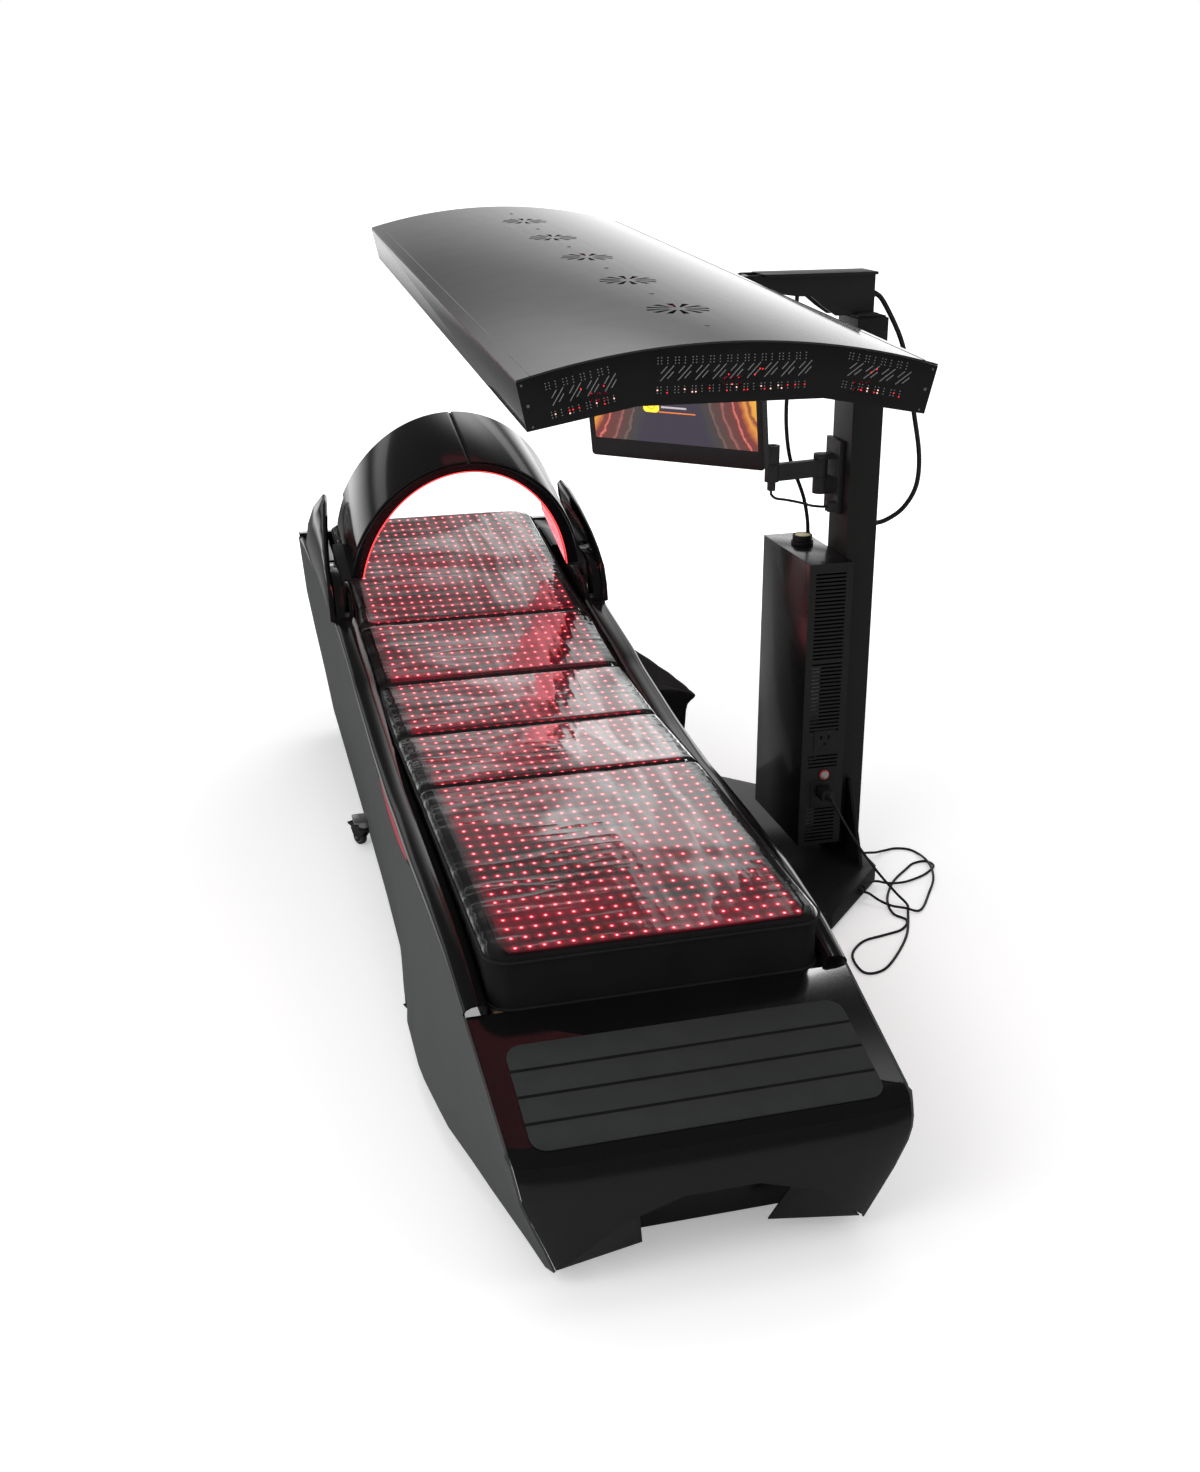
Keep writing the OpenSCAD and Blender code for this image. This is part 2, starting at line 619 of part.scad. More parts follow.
module arch_covers() {
    rise = 6;
    split = 1.5;
    edge = 62;
    color([0.05, 0.05, 0.05]) hood_place() end_cut(hood_y0 + 3, hood_y0 + hood_len - 3) {
        for (a = [[edge, 90 - split / 3], [90 + split / 3, 180 - edge]])
            polygon(concat(hood_arc(hood_ao + rise, hood_bo + rise, a[0], a[1], 8),
                hood_arc(hood_ao + seat_gap, hood_bo + seat_gap, a[1], a[0], 8)));
    }
}

module arch_pods() {
    color([0.03, 0.03, 0.03]) place() translate([0, hood_y, pivot_h]) {
        both_sides() {
            difference() {
                union() {
                    side_cut(pod_x0, slot_x0 + 1) polygon(cheek_line);
                    side_cut(slot_x0 + 1, pod_x0 + pod_w) polygon(pod_line);
                }
                side_cut(slot_x0, slot_x0 + slot_w) polygon([[-65, pod_low + 6], [278, pod_low + 6],
                    [278, 200], [-65, 200]]);
            }
            translate([slot_x0 - 1, 0, 0]) bar_x(pivot_r, slot_w + 2);
        }
    }
}

module arch_arms() {
    hub_r = pivot_r + 15;
    web_z = 84;
    web_t = 8;
    fin_x = hood_a + 2;
    fin_z = web_z + 70;
    reach = 200;
    color([0.1, 0.1, 0.1]) hood_place() both_sides() difference() {
        union() {
            translate([arm_x, 0, 0]) bar_x(hub_r, arm_t);
            side_cut(arm_x, arm_x + arm_t) polygon([[-hub_r, 0], [10, 8 - hub_r - 4], [60, 20], [reach, 56],
                [reach, web_z + web_t], [hood_y0 + rim_t + seat_gap, web_z + web_t], [-hub_r + 3, 34]]);
            side_cut(fin_x, arm_x + 1) polygon([[hood_y0 + rim_t + seat_gap, web_z],
                [reach, web_z], [reach, web_z + web_t], [hood_y0 + rim_t + seat_gap, web_z + web_t]]);
            side_cut(fin_x, fin_x + 7) polygon([[hood_y0 + rim_t + seat_gap, web_z + web_t - 1],
                [reach, web_z + web_t - 1], [reach, fin_z], [hood_y0 + rim_t + seat_gap, fin_z]]);
        }
        translate([arm_x - 1, 0, 0]) bar_x(pivot_r + pin_gap, arm_t + 2);
    }
}

// Fins that stand on the side panels, outside the pods: station, top height and inner top edge
fin_line = [[-69, 8, 350], [-58, 50, 350], [-36, 92, 349], [14, 130, 347], [70, 166, 342],
    [150, 206, 333], [236, 240, 322], [286, 254, 318], [301, 246, 318], [306, 214, 322]];
fin_y1 = hood_y + 306;

module arch_wings() {
    xi = pod_x0 + pod_w + skin_gap;
    rings = [for (p = fin_line) let (y = hood_y + p[0], zb = sheer_z(y) + 0.8, zt = pivot_h + p[1],
        w = sheer_w(y), bulge = min(12, (zt - zb) * 0.12), xt = p[2],
        zi = min(pivot_h + 116, mix(zb, zt, 0.6)))
        [for (q = [[xi, zb], [w, zb], [w + bulge, mix(zb, zt, 0.35)],
            [mix(w, xt, 0.15) + bulge, mix(zb, zt, 0.62)],
            [mix(w, xt, 0.5) + bulge, mix(zb, zt, 0.85)], [xt + 12, zt - 3], [xt + 6, zt], [xt, zt - 5],
            [mix(xi, xt, 0.5), mix(zi, zt, 0.5)], [xi, zi]]) [q[0], y, q[1]]]];
    color([0.04, 0.04, 0.04]) place() both_sides() loft(rings);
}

// Cloth flap at the right side: rows from the panel out to its edge and down its hanging part
flap_rows = [
    [[0, 1856, 462], [6, 1850, 461], [4, 1852, 440], [2, 1850, 400], [1, 1846, 352]],
    [[0, 1760, 459], [34, 1752, 456], [30, 1756, 432], [20, 1758, 380], [12, 1756, 300]],
    [[0, 1680, 456], [62, 1660, 450], [54, 1668, 426], [46, 1676, 366], [30, 1672, 270]],
    [[0, 1610, 452], [88, 1575, 438], [70, 1586, 416], [52, 1590, 350], [46, 1594, 244]],
    [[0, 1560, 449], [106, 1520, 427], [76, 1536, 408], [70, 1540, 336], [56, 1536, 226]],
    [[0, 1530, 448], [116, 1496, 417], [76, 1508, 404], [80, 1504, 330], [68, 1506, 220]],
    [[0, 1514, 447], [84, 1490, 436], [60, 1500, 412], [54, 1508, 328], [50, 1496, 222]],
    [[0, 1506, 446], [52, 1490, 441], [42, 1496, 414], [36, 1488, 330], [32, 1500, 226]],
    [[0, 1500, 446], [26, 1490, 444], [22, 1494, 414], [18, 1500, 334], [16, 1490, 232]],
    [[0, 1496, 446], [6, 1490, 445], [4, 1492, 414], [3, 1496, 338], [3, 1494, 240]]];

module side_flap() {
    flap_t = 2.5;
    rings = [for (r = flap_rows) [for (p = r)
        [panel_w(p[1], p[2]) + shut_gap + p[0] + (p == r[0] ? 0 : flap_t), p[1], p[2]]]];
    color([0.05, 0.05, 0.05]) place() skin(rings, backed(rings, flap_t));
}

/* Casters */
fork_gap = 1;
fork_t = 2.5;
crown_z = wheel_d + 6;
crown_t = 6;
stem_r = 6;
plate_t = 5;
plate_side = 58;
pedal_x = trail + 16;
pedal_z = crown_z - 1;
pedal_pin = 2;

// Brings a caster's own frame, with the wheel behind the swivel along +X, to caster i
module caster_place(i) {
    side = i % 2;
    place() translate([side == 0 ? -caster_x : caster_x, caster_ys[floor(i / 2)], 0])
        rotate([0, 0, caster_dirs[side]]) children();
}

module caster_plates() {
    boss_z = crown_z + crown_t + seat_gap;
    color("silver") for (i = [0:3]) caster_place(i) difference() {
        union() {
            translate([0, 0, rail_z - plate_t]) rotate([0, 0, -caster_dirs[i % 2]])
                plate(plate_side, plate_side, plate_t, 6);
            translate([0, 0, boss_z]) cylinder(r = 16, h = rail_z - plate_t - boss_z + 1, $fn = fit_fn);
        }
        translate([0, 0, boss_z - 1])
            cylinder(r = stem_r + pin_gap, h = rail_z - boss_z - 1, $fn = fit_fn);
    }
}

module caster_fork(i) {
    inner = wheel_w / 2 + fork_gap;
    stem_h = rail_z - crown_z - crown_t - 3;
    color("dimgray") caster_place(i) {
        translate([0, 0, crown_z]) cylinder(r = 20, h = crown_t, $fn = fit_fn);
        translate([0, 0, crown_z + crown_t - 1]) cylinder(r = stem_r, h = stem_h, $fn = fit_fn);
        for (y = [-inner, inner + fork_t]) translate([0, y, 0]) rotate([90, 0, 0]) linear_extrude(fork_t)
            polygon([[-14, crown_z + 1], [trail - 9, wheel_d / 2 - 4], [trail - 4, wheel_d / 2 - 9],
                [trail + 4, wheel_d / 2 - 9], [trail + 9, wheel_d / 2 - 4], [pedal_x + 6, pedal_z - 5],
                [pedal_x + 6, pedal_z + 5], [16, crown_z + crown_t - 1], [-14, crown_z + crown_t - 1]]);
        translate([trail, -inner - 1, wheel_d / 2]) bar_y(axle_r, 2 * inner + 2);
        translate([pedal_x, -inner - 1, pedal_z]) bar_y(pedal_pin, 2 * inner + 2);
    }
}

module caster_wheel(i) {
    r = wheel_d / 2;
    h = wheel_w / 2;
    color([0.12, 0.12, 0.12]) caster_place(i) translate([trail, 0, r]) rotate([90, 0, 0])
        rotate_extrude($fn = 72) polygon([[axle_r + pin_gap, -h], [r * 0.4, -h], [r * 0.45, 1.5 - h],
            [r * 0.7, 1.5 - h], [r * 0.75, -h], [r - 3, -h], [r - 0.9, 1.2 - h], [r, 4 - h],
            [r, h - 4], [r - 0.9, h - 1.2], [r - 3, h], [r * 0.75, h], [r * 0.7, h - 1.5],
            [r * 0.45, h - 1.5], [r * 0.4, h], [axle_r + pin_gap, h]]);
}

module caster_pedal(i) {
    color([0.1, 0.1, 0.1]) caster_place(i) translate([pedal_x, 0, pedal_z]) difference() {
        union() {
            translate([0, -wheel_w / 2, 0]) bar_y(4.5, wheel_w);
            rotate([90, 0, 0]) translate([0, 0, -wheel_w / 2]) linear_extrude(wheel_w)
                polygon([[0, 0.5], [3, -3.5], [22, 1], [25, 4], [23, 5.5], [0, 4.4]]);
        }
        translate([0, -wheel_w, 0]) bar_y(pedal_pin + pin_gap, 2 * wheel_w);
    }
}

/* Stand */
base_top = foot_h + base_t;
base_x0 = -240;
flare_x = 440;
col_y = -68;
col_x0 = col_x - col_w / 2;
col_x1 = col_x + col_w / 2;
base_x1 = col_x1 + 3;
shoulder_x = base_x1 - 196;
// Plan of the base, from the middle of its tongue
base_plan = [[base_x0, -250], [flare_x, -250], [flare_x, -425], [shoulder_x, -425], [base_x1, -222],
    [base_x1, 222], [shoulder_x, 425], [flare_x, 425], [flare_x, 250], [base_x0, 250]];
// Where the two leads are clamped on the diagonal face, and their height there
clamp_xs = [738, 750];
lead_z = 30;
lead_r = 3;
function clamp_y(x) = -425 + (x - shoulder_x) * 203 / 196;

module gusset(len, height, dir) {
    side_cut(-5, 5) polygon([[0, 0], [dir * len, 0], [dir * len, 12], [dir * 12, height], [0, height]]);
}

module stand_base() {
    skin_t = 5;
    color([0.12, 0.12, 0.12]) {
        difference() {
            translate([0, 0, foot_h]) linear_extrude(base_t) polygon(base_plan);
            for (box = [[base_x0 + 40, -210, -30, 210], [30, -210, flare_x - 40, 210],
                [flare_x + 30, -370, shoulder_x - 10, -240], [flare_x + 30, 240, shoulder_x - 10, 370],
                [flare_x + 30, -190, col_x0 - 20, 190]])
                translate([box[0], box[1], foot_h - 1])
                    cube([box[2] - box[0], box[3] - box[1], base_t - skin_t + 1]);
        }
        // Blocks that carry the bed's rails
        for (x = [-rail_gap / 2, rail_gap / 2], y = [-180, 180])
            translate([x - 17, y - 30, base_top]) cube([34, 60, rail_z - base_top - seat_gap]);
        // Gussets in front of the column and behind it
        translate([col_x, col_y - col_d / 2, base_top]) gusset(100, 188, -1);
        translate([col_x, col_y + col_d / 2, base_top]) gusset(190, 230, 1);
        // Clamps for the two leads
        for (x = clamp_xs) translate([x, clamp_y(x), lead_z]) rotate([0, 0, 46])
            translate([-5.5, -10, -8]) cube([11, 11, 16]);
    }
}

module base_feet() {
    spots = [[0, 0], [base_x0 + 22, -228], [base_x0 + 22, 228], [flare_x - 16, 0],
        [shoulder_x - 60, -395], [shoulder_x - 60, 395], [base_x1 - 28, -180], [base_x1 - 28, 180]];
    color([0.08, 0.08, 0.08]) for (p = spots)
        translate([p[0], p[1], 0]) cylinder(r = p[0] == 0 ? 14 : 18, h = foot_h, $fn = fit_fn);
}

module column_tube() {
    color([0.75, 0.75, 0.76]) translate([0, 0, base_top]) difference() {
        translate([col_x0, col_y - col_d / 2, 0]) cube([col_w, col_d, col_h - base_top]);
        translate([col_x0 + col_wall, col_y - col_d / 2 + col_wall, -1])
            cube([col_w - 2 * col_wall, col_d - 2 * col_wall, col_h]);
    }
}

post_gap = 0.5;
post_hold = 540;
lift_low = col_h - post_hold - lift_travel;
bracket_z = col_h + 4;
bracket_top = bracket_z + 91;
can_h = bracket_top + can_rise;
cheek_t = 6;
cheek_y = 28;
hinge_r = 6;
hinge_x = 365;
hinge_y = -hinge_x * tan(can_yaw);
hinge_z = -22;

module lift_post() {
    w = col_w - 2 * col_wall - 2 * post_gap;
    d = col_d - 2 * col_wall - 2 * post_gap;
    color("silver") translate([col_x - w / 2, col_y - d / 2, lift_low]) difference() {
        cube([w, d, bracket_z - lift_low]);
        translate([3, 3, -1]) cube([w - 6, d - 6, bracket_z - lift_low + 2]);
    }
}

// The canopy's frame: origin over the column, Y along the canopy, Z up from its side top edge
can_front = 1052;
module can_place() {
    translate([can_x, col_y, can_h]) rotate([can_pitch, 0, can_yaw]) children();
}

module head_bracket() {
    outline = [[hinge_x + can_x + 20, bracket_top], [col_x1 - 25, bracket_top], [col_x1 - 25, bracket_z],
        [col_x0 - 41, bracket_z], [col_x0 - 70, bracket_z + 19], [col_x0 - 99, bracket_z + 42],
        [col_x0 - 131, bracket_z + 43],
        [hinge_x + can_x + 20, bracket_z + 56]];
    color([0.14, 0.14, 0.15]) {
        for (y = [-cheek_y, cheek_y - cheek_t]) translate([0, col_y, 0])
            end_cut(y, y + cheek_t) polygon(outline);
        translate([col_x0, col_y - col_d / 2, bracket_z]) cube([col_w - 25, col_d, cheek_t]);
        // Plate across the end, where the canopy's cable leaves
        translate([col_x1 - 29, col_y - cheek_y, bracket_z]) cube([4, 2 * cheek_y, bracket_top - bracket_z]);
        translate([hinge_x + can_x + 30, col_y - cheek_y - 14, bracket_top - cheek_t])
            cube([col_x1 - 25 - hinge_x - can_x - 30, 2 * cheek_y + 28, cheek_t]);
        // Lugs that hold the hinge pin
        can_place() translate([hinge_x, hinge_y, hinge_z]) {
            for (y = [-cheek_y - 1, cheek_y - cheek_t + 1]) {
                translate([0, y, 0]) bar_y(13, cheek_t);
                translate([0, y, -13]) cube([26, cheek_t, 26]);
            }
            translate([0, -cheek_y, 0]) bar_y(hinge_r, 2 * cheek_y);
        }
    }
}

/* Canopy */
can_half = can_w / 2;
can_low = can_half - 16;
can_mid = 145;
can_mid_z = -40;
can_skin = 3;
cap_t = 6;
// The curved top as an arc through the side edges and the crown
can_r = (can_half * can_half + can_crown * can_crown) / (2 * can_crown);
can_a = asin(can_half / can_r);
function can_arc(drop, n) = [for (i = [0:n]) let (t = mix(can_a, -can_a, i / n))
    [(can_r - drop) * sin(t), can_crown - can_r + (can_r - drop) * cos(t)]];
fan_y0 = 304;
fan_slots = 12;

module can_cut(y0, y1) {
    can_place() translate([0, -can_front, 0]) end_cut(y0, y1) children();
}

module canopy_skin() {
    color([0.2, 0.2, 0.21]) difference() {
        can_cut(0, can_len) polygon(concat(can_arc(0, 24), [for (i = [24:-1:0]) can_arc(can_skin, 24)[i]]));
        can_place() translate([0, -can_front, can_crown - 20]) for (i = [0:4], k = [0:fan_slots - 1])
            translate([0, fan_y0 + i * fan_pitch, 0]) rotate([0, 0, 360 * k / fan_slots]) linear_extrude(40)
                polygon([[fan_r * 0.29, -2], [fan_r, -6], [fan_r, 6], [fan_r * 0.29, 2]]);
    }
}

module canopy_frame() {
    section = concat([for (p = can_arc(can_skin + seat_gap, 24)) if (abs(p[0]) < can_half - 1) p],
        [[-can_half, -can_skin - seat_gap], [-can_low, -can_side], [-can_mid, can_mid_z - 5],
        [can_mid, can_mid_z - 5], [can_low, -can_side], [can_half, -can_skin - seat_gap]]);
    color([0.13, 0.13, 0.14]) {
        for (y = [0, can_len - cap_t]) difference() {
            can_cut(y, y + cap_t) polygon(section);
            // Groups of air holes
            can_place() translate([0, -can_front + y - 1, can_mid_z])
                for (x = [-205, 0, 205], i = [-1:1], z = [10, 20])
                    translate([x + i * 11, 0, z + (x == 0 ? 12 : -4)]) rotate([-90, 0, 0])
                        cylinder(r = 2.6, h = cap_t + 2, $fn = 8);
        }
        for (s = [-1, 1]) can_cut(cap_t, can_len - cap_t)
            polygon([[s * can_half, -can_skin - seat_gap], [s * can_low, -can_side],
                [s * (can_low - 14), 3 - can_side], [s * (can_low - 13), 6 - can_side],
                [s * (can_low - 3), 5 - can_side], [s * (can_half - 4), -can_skin - seat_gap - 6],
                [s * (can_half - 4), -can_skin - seat_gap - 1.5]]);
        // Knuckle of the hinge that carries the canopy
        inner = cheek_y - cheek_t - 1;
        can_place() difference() {
            union() {
                translate([hinge_x, hinge_y - inner, hinge_z]) bar_y(12, 2 * inner);
                translate([can_low - 4, hinge_y - inner, hinge_z - 10])
                    cube([hinge_x - can_low + 4, 2 * inner, 20]);
            }
            translate([hinge_x, hinge_y - inner - 1, hinge_z]) bar_y(hinge_r + pin_gap, 2 * inner + 2);
            translate([can_half - 34, hinge_y - inner - 1, hinge_z - 15]) cube([28, 2 * inner + 2, 30]);
        }
    }
}

module led_panels() {
    t = 4;
    gap = 1;
    color([0.3, 0.3, 0.31]) can_cut(cap_t + seat_gap, can_len - cap_t - seat_gap) {
        polygon([[-can_mid, can_mid_z], [can_mid, can_mid_z], [can_mid, can_mid_z + t],
            [-can_mid, can_mid_z + t]]);
        for (s = [-1, 1]) polygon([[s * (can_mid + gap), can_mid_z], [s * (can_low - 14.5), 7 - can_side],
            [s * (can_low - 14.5), 7 + t - can_side], [s * (can_mid + gap), can_mid_z + t]]);
    }
}

module canopy_fans() {
    side = 2 * fan_r + 4;
    depth = 25;
    z = can_crown - can_skin - depth - 1.7;
    color([0.1, 0.1, 0.1]) can_place() for (i = [0:4])
        translate([0, -can_front + fan_y0 + i * fan_pitch, z]) {
            difference() {
                plate(side, side, depth, 5);
                translate([0, 0, -1]) cylinder(r = fan_r - 1, h = depth + 2, $fn = fit_fn);
            }
            // Motor on its three struts
            translate([0, 0, 2]) cylinder(r = fan_r * 0.35, h = depth - 4, $fn = fit_fn);
            for (k = [0:2]) rotate([0, 0, 120 * k]) translate([0, -2, 2]) cube([fan_r, 4, 4]);
            for (k = [0:6]) rotate([0, 0, 360 * k / 7]) translate([fan_r * 0.3, 0, 14]) rotate([35, 0, 0])
                translate([0, -9, -1]) cube([fan_r * 0.62, 18, 1.6]);
        }
}

/* Cabinet */
cab_x1 = col_x0 - seat_gap;
cab_x0 = cab_x1 - cab_w;
cab_mid = (cab_x0 + cab_x1) / 2;
cab_y0 = col_y - col_d / 2 - 48;
cab_top = cab_z + cab_h;
button_z = cab_z + 178;
outlet_z = cab_z + 265;
inlet_z = cab_z + 128;
outlet_w = 54;
outlet_h = 48;
inlet_w = 58;
inlet_h = 70;
button_x = cab_mid + 5;
plug_x = cab_mid + 2;
button_r = button_d / 2;

module cabinet_case() {
    color([0.1, 0.1, 0.1]) translate([cab_x0, cab_y0 + cab_wall, cab_z]) difference() {
        cube([cab_w, cab_d - cab_wall, cab_h]);
        translate([cab_wall, -1, cab_wall])
            cube([cab_w - 2 * cab_wall, cab_d - 2 * cab_wall + 1, cab_h - 2 * cab_wall]);
    }
}

module cabinet_front() {
    pitch = 9;
    slot = 4;
    color([0.12, 0.12, 0.12]) difference() {
        translate([cab_x0, cab_y0, cab_z]) cube([cab_w, cab_wall, cab_h]);
        // Louvre slots, as height above the cabinet's underside and count
        for (g = [[8, 10], [196, 4], [286, 19], [462, 23]], i = [0:g[1] - 1])
            translate([cab_x0 + 16, cab_y0 - 1, cab_z + g[0] + i * pitch])
                cube([cab_w - 32, cab_wall + 2, slot]);
        translate([plug_x - outlet_w / 2, cab_y0 - 1, outlet_z - outlet_h / 2])
            cube([outlet_w, cab_wall + 2, outlet_h]);
        translate([plug_x - inlet_w / 2, cab_y0 - 1, inlet_z - inlet_h / 2])
            cube([inlet_w, cab_wall + 2, inlet_h]);
        translate([button_x, cab_y0 - 1, button_z]) bar_y(button_r + 1.2, cab_wall + 2);
    }
}

plug_w = 30;
plug_h = 26;
plug_z = inlet_z + 8;
module power_sockets() {
    depth = 24;
    proud = 1.5;
    color([0.06, 0.06, 0.06]) {
        difference() {
            translate([plug_x - outlet_w / 2 + seat_gap, cab_y0 - proud, outlet_z - outlet_h / 2 + seat_gap])
                cube([outlet_w - 2 * seat_gap, depth, outlet_h - 2 * seat_gap]);
            for (x = [-11, 7]) translate([plug_x + x, cab_y0 - proud - 1, outlet_z + 2]) cube([4, 16, 9]);
            translate([plug_x, cab_y0 - proud - 1, outlet_z - 10]) bar_y(2.5, 16);
        }
        difference() {
            translate([plug_x - inlet_w / 2 + seat_gap, cab_y0 - proud, inlet_z - inlet_h / 2 + seat_gap])
                cube([inlet_w - 2 * seat_gap, depth, inlet_h - 2 * seat_gap]);
            translate([plug_x - plug_w / 2 - seat_gap, cab_y0 - proud - 1, plug_z - plug_h / 2 - seat_gap])
                cube([plug_w + 2 * seat_gap, 15, plug_h + 2 * seat_gap]);
        }
        // Bezel round the power button
        translate([button_x, cab_y0 - 2.5, button_z]) difference() {
            union() {
                bar_y(button_r + 3, 2.2);
                bar_y(button_r + 0.9, 16);
            }
            translate([0, -1, 0]) bar_y(button_r + pin_gap, 18);
        }
    }
}

module power_button() {
    color("silver") translate([button_x, cab_y0 - 2.5 - button_travel - 0.5, button_z]) {
        bar_y(button_r, 12);
        bar_y(button_r - 3, 18);
    }
}

module power_supply() {
    gap = seat_gap;
    color("silver") translate([cab_x0 + cab_wall + gap, cab_y0 + 60, cab_z + cab_wall + gap])
        difference() {
        cube([60, 200, 420]);
        for (i = [0:7]) translate([56, 20, 30 + i * 48]) cube([5, 160, 6]);
    }
}

// The plug sits in the inlet and its lead leaves along -Y
plug_y1 = cab_y0 + 12.2;
plug_y0 = cab_y0 - 38;
relief = 24;
module power_plug() {
    color([0.05, 0.05, 0.05]) {
        translate([plug_x, plug_y1, plug_z]) rotate([90, 0, 0]) plate(plug_w, plug_h, plug_y1 - plug_y0, 6);
        translate([plug_x, plug_y0 - relief, plug_z]) rotate([-90, 0, 0])
            cylinder(r1 = lead_r + 0.8, r2 = 8, h = relief + 1, $fn = fit_fn);
    }
}

module handset() {
    x = cab_x0 + 54;
    y = 14;
    color([0.1, 0.1, 0.1]) translate([x, y, cab_top]) {
        cylinder(r = 26, h = 9, $fn = fit_fn);
        translate([0, 0, 9 + seat_gap]) difference() {
            cylinder(r = 23, h = 14, $fn = fit_fn);
            translate([0, 0, 12.5]) cylinder(r = 19, h = 3, $fn = fit_fn);
        }
    }
}

/* Screen */
arm_x1 = col_x0 - seat_gap;
pivot_a = [col_x0 - 41, col_y + 18];
// The arm stands between the cabinet's top and the column's, with the screen above it
stand_room = col_h - cab_top;
plate_z = cab_top + 0.173 * stand_room;
plate_h = 0.314 * stand_room;
arm_z = cab_top + 0.327 * stand_room;
arm_gap = 40;
link_t = arm_gap - 2 * seat_gap;
link_dir = 190.4;
pivot_b = pivot_a + link_len * [cos(link_dir), sin(link_dir)];
head_z = arm_z + arm_gap + 1;
mon_at = [pivot_b[0] - 236.6, pivot_b[1] - 81.3, cab_top + 0.72 * stand_room];
clip_h = 20;
lead_clip = [arm_x1 - 34, col_y - 20, plate_z + 6];
mon_yaw = -42.4;
mon_tilt = 10.7;
mon_back = 24;
mon_pin = 5;
knuckle_w = 30;

module arm_plate() {
    lug_t = 12;
    low_t = 38;
    color([0.08, 0.08, 0.08]) {
        translate([arm_x1 - 12, col_y - 20, plate_z]) cube([12, 78, plate_h]);
        for (lug = [[arm_z - low_t, low_t], [arm_z + arm_gap, lug_t]]) {
            translate([pivot_a[0], pivot_a[1], lug[0]]) cylinder(r = 17, h = lug[1], $fn = fit_fn);
            translate([pivot_a[0], pivot_a[1] - 15, lug[0]])
                cube([arm_x1 - 6 - pivot_a[0], 30, lug[1]]);
        }
        translate([pivot_a[0], pivot_a[1], arm_z - 1]) cylinder(r = post_r, h = arm_gap + 2, $fn = fit_fn);
        // Clip that holds the screen's lead
        translate(lead_clip) cube([arm_x1 - 11 - lead_clip[0], 20, 22]);
    }
}

module arm_link() {
    color([0.08, 0.08, 0.08]) {
        translate([0, 0, arm_z + seat_gap]) difference() {
            translate([pivot_a[0], pivot_a[1], 0]) union() {
                cylinder(r = 16, h = link_t, $fn = fit_fn);
                rotate([0, 0, link_dir]) translate([0, -10, 1]) cube([link_len, 20, link_t - 2]);
            }
            translate([pivot_a[0], pivot_a[1], -1])
                cylinder(r = post_r + pin_gap, h = arm_gap + 2, $fn = fit_fn);
        }
        translate([pivot_b[0], pivot_b[1], arm_z + seat_gap]) {
            cylinder(r = 16, h = link_t, $fn = fit_fn);
            cylinder(r = post_r, h = link_t + 38, $fn = fit_fn);
        }
        // Clip under the link's end, where the screen's lead leaves
        translate([pivot_b[0] - 7, pivot_b[1] - 8, arm_z - clip_h]) cube([14, 16, clip_h + 6]);
    }
}

module arm_head() {
    cheek = 6;
    x1 = knuckle_w / 2 + seat_gap;
    bar_z0 = head_z + 4 - mon_at[2];
    color([0.08, 0.08, 0.08]) {
        difference() {
            union() {
                translate([pivot_b[0], pivot_b[1], head_z]) cylinder(r = 16, h = 40, $fn = fit_fn);
                // Sloping bar from the pivot up to the fork
                translate(mon_at) rotate([0, 0, mon_yaw]) hull() {
                    translate([-11, 20, -16]) cube([22, 6, 32]);
                    translate([109, 205, bar_z0]) rotate([0, 0, 30]) cube([20, 8, 30]);
                }
            }
            translate([pivot_b[0], pivot_b[1], head_z - 1])
                cylinder(r = post_r + pin_gap, h = 60, $fn = fit_fn);
        }
        translate(mon_at) rotate([0, 0, mon_yaw]) {
            for (x = [-x1 - cheek, x1]) {
                translate([x, 0, 0]) bar_x(13, cheek);
                translate([x, 0, -13]) cube([cheek, 22, 26]);
            }
            translate([-x1 - cheek, 16, -16]) cube([2 * x1 + 2 * cheek, 6, 32]);
            translate([-x1 - 1, 0, 0]) bar_x(mon_pin, 2 * x1 + 2);
        }
    }
}

module mon_place() {
    translate(mon_at) rotate([0, 0, mon_yaw]) rotate([mon_tilt, 0, 0]) children();
}

screen_w = mon_w - 26;
screen_h = mon_h - 62;
screen_up = 10;
module monitor_housing() {
    glass_t = 2;
    color([0.07, 0.07, 0.07]) mon_place() difference() {
        union() {
            translate([0, -mon_back, 0]) rotate([90, 0, 0]) plate(mon_w, mon_h, mon_t, 8);
            translate([-50, -mon_back - 1, -50]) cube([100, 7, 100]);
            translate([-knuckle_w / 2, -mon_back + 4, -8]) cube([knuckle_w, mon_back - 4, 16]);
            translate([-knuckle_w / 2, 0, 0]) bar_x(11, knuckle_w);
        }
        translate([-screen_w / 2, -mon_back - mon_t - 1, screen_up - screen_h / 2])
            cube([screen_w, glass_t + 1, screen_h]);
        translate([-knuckle_w, 0, 0]) bar_x(mon_pin + pin_gap, 2 * knuckle_w);
    }
}

module monitor_screen() {
    g = 0.2;
    color([0.25, 0.15, 0.1]) mon_place()
        translate([g - screen_w / 2, -mon_back - mon_t + 0.2, screen_up + g - screen_h / 2])
            cube([screen_w - 2 * g, 1.6, screen_h - 2 * g]);
}

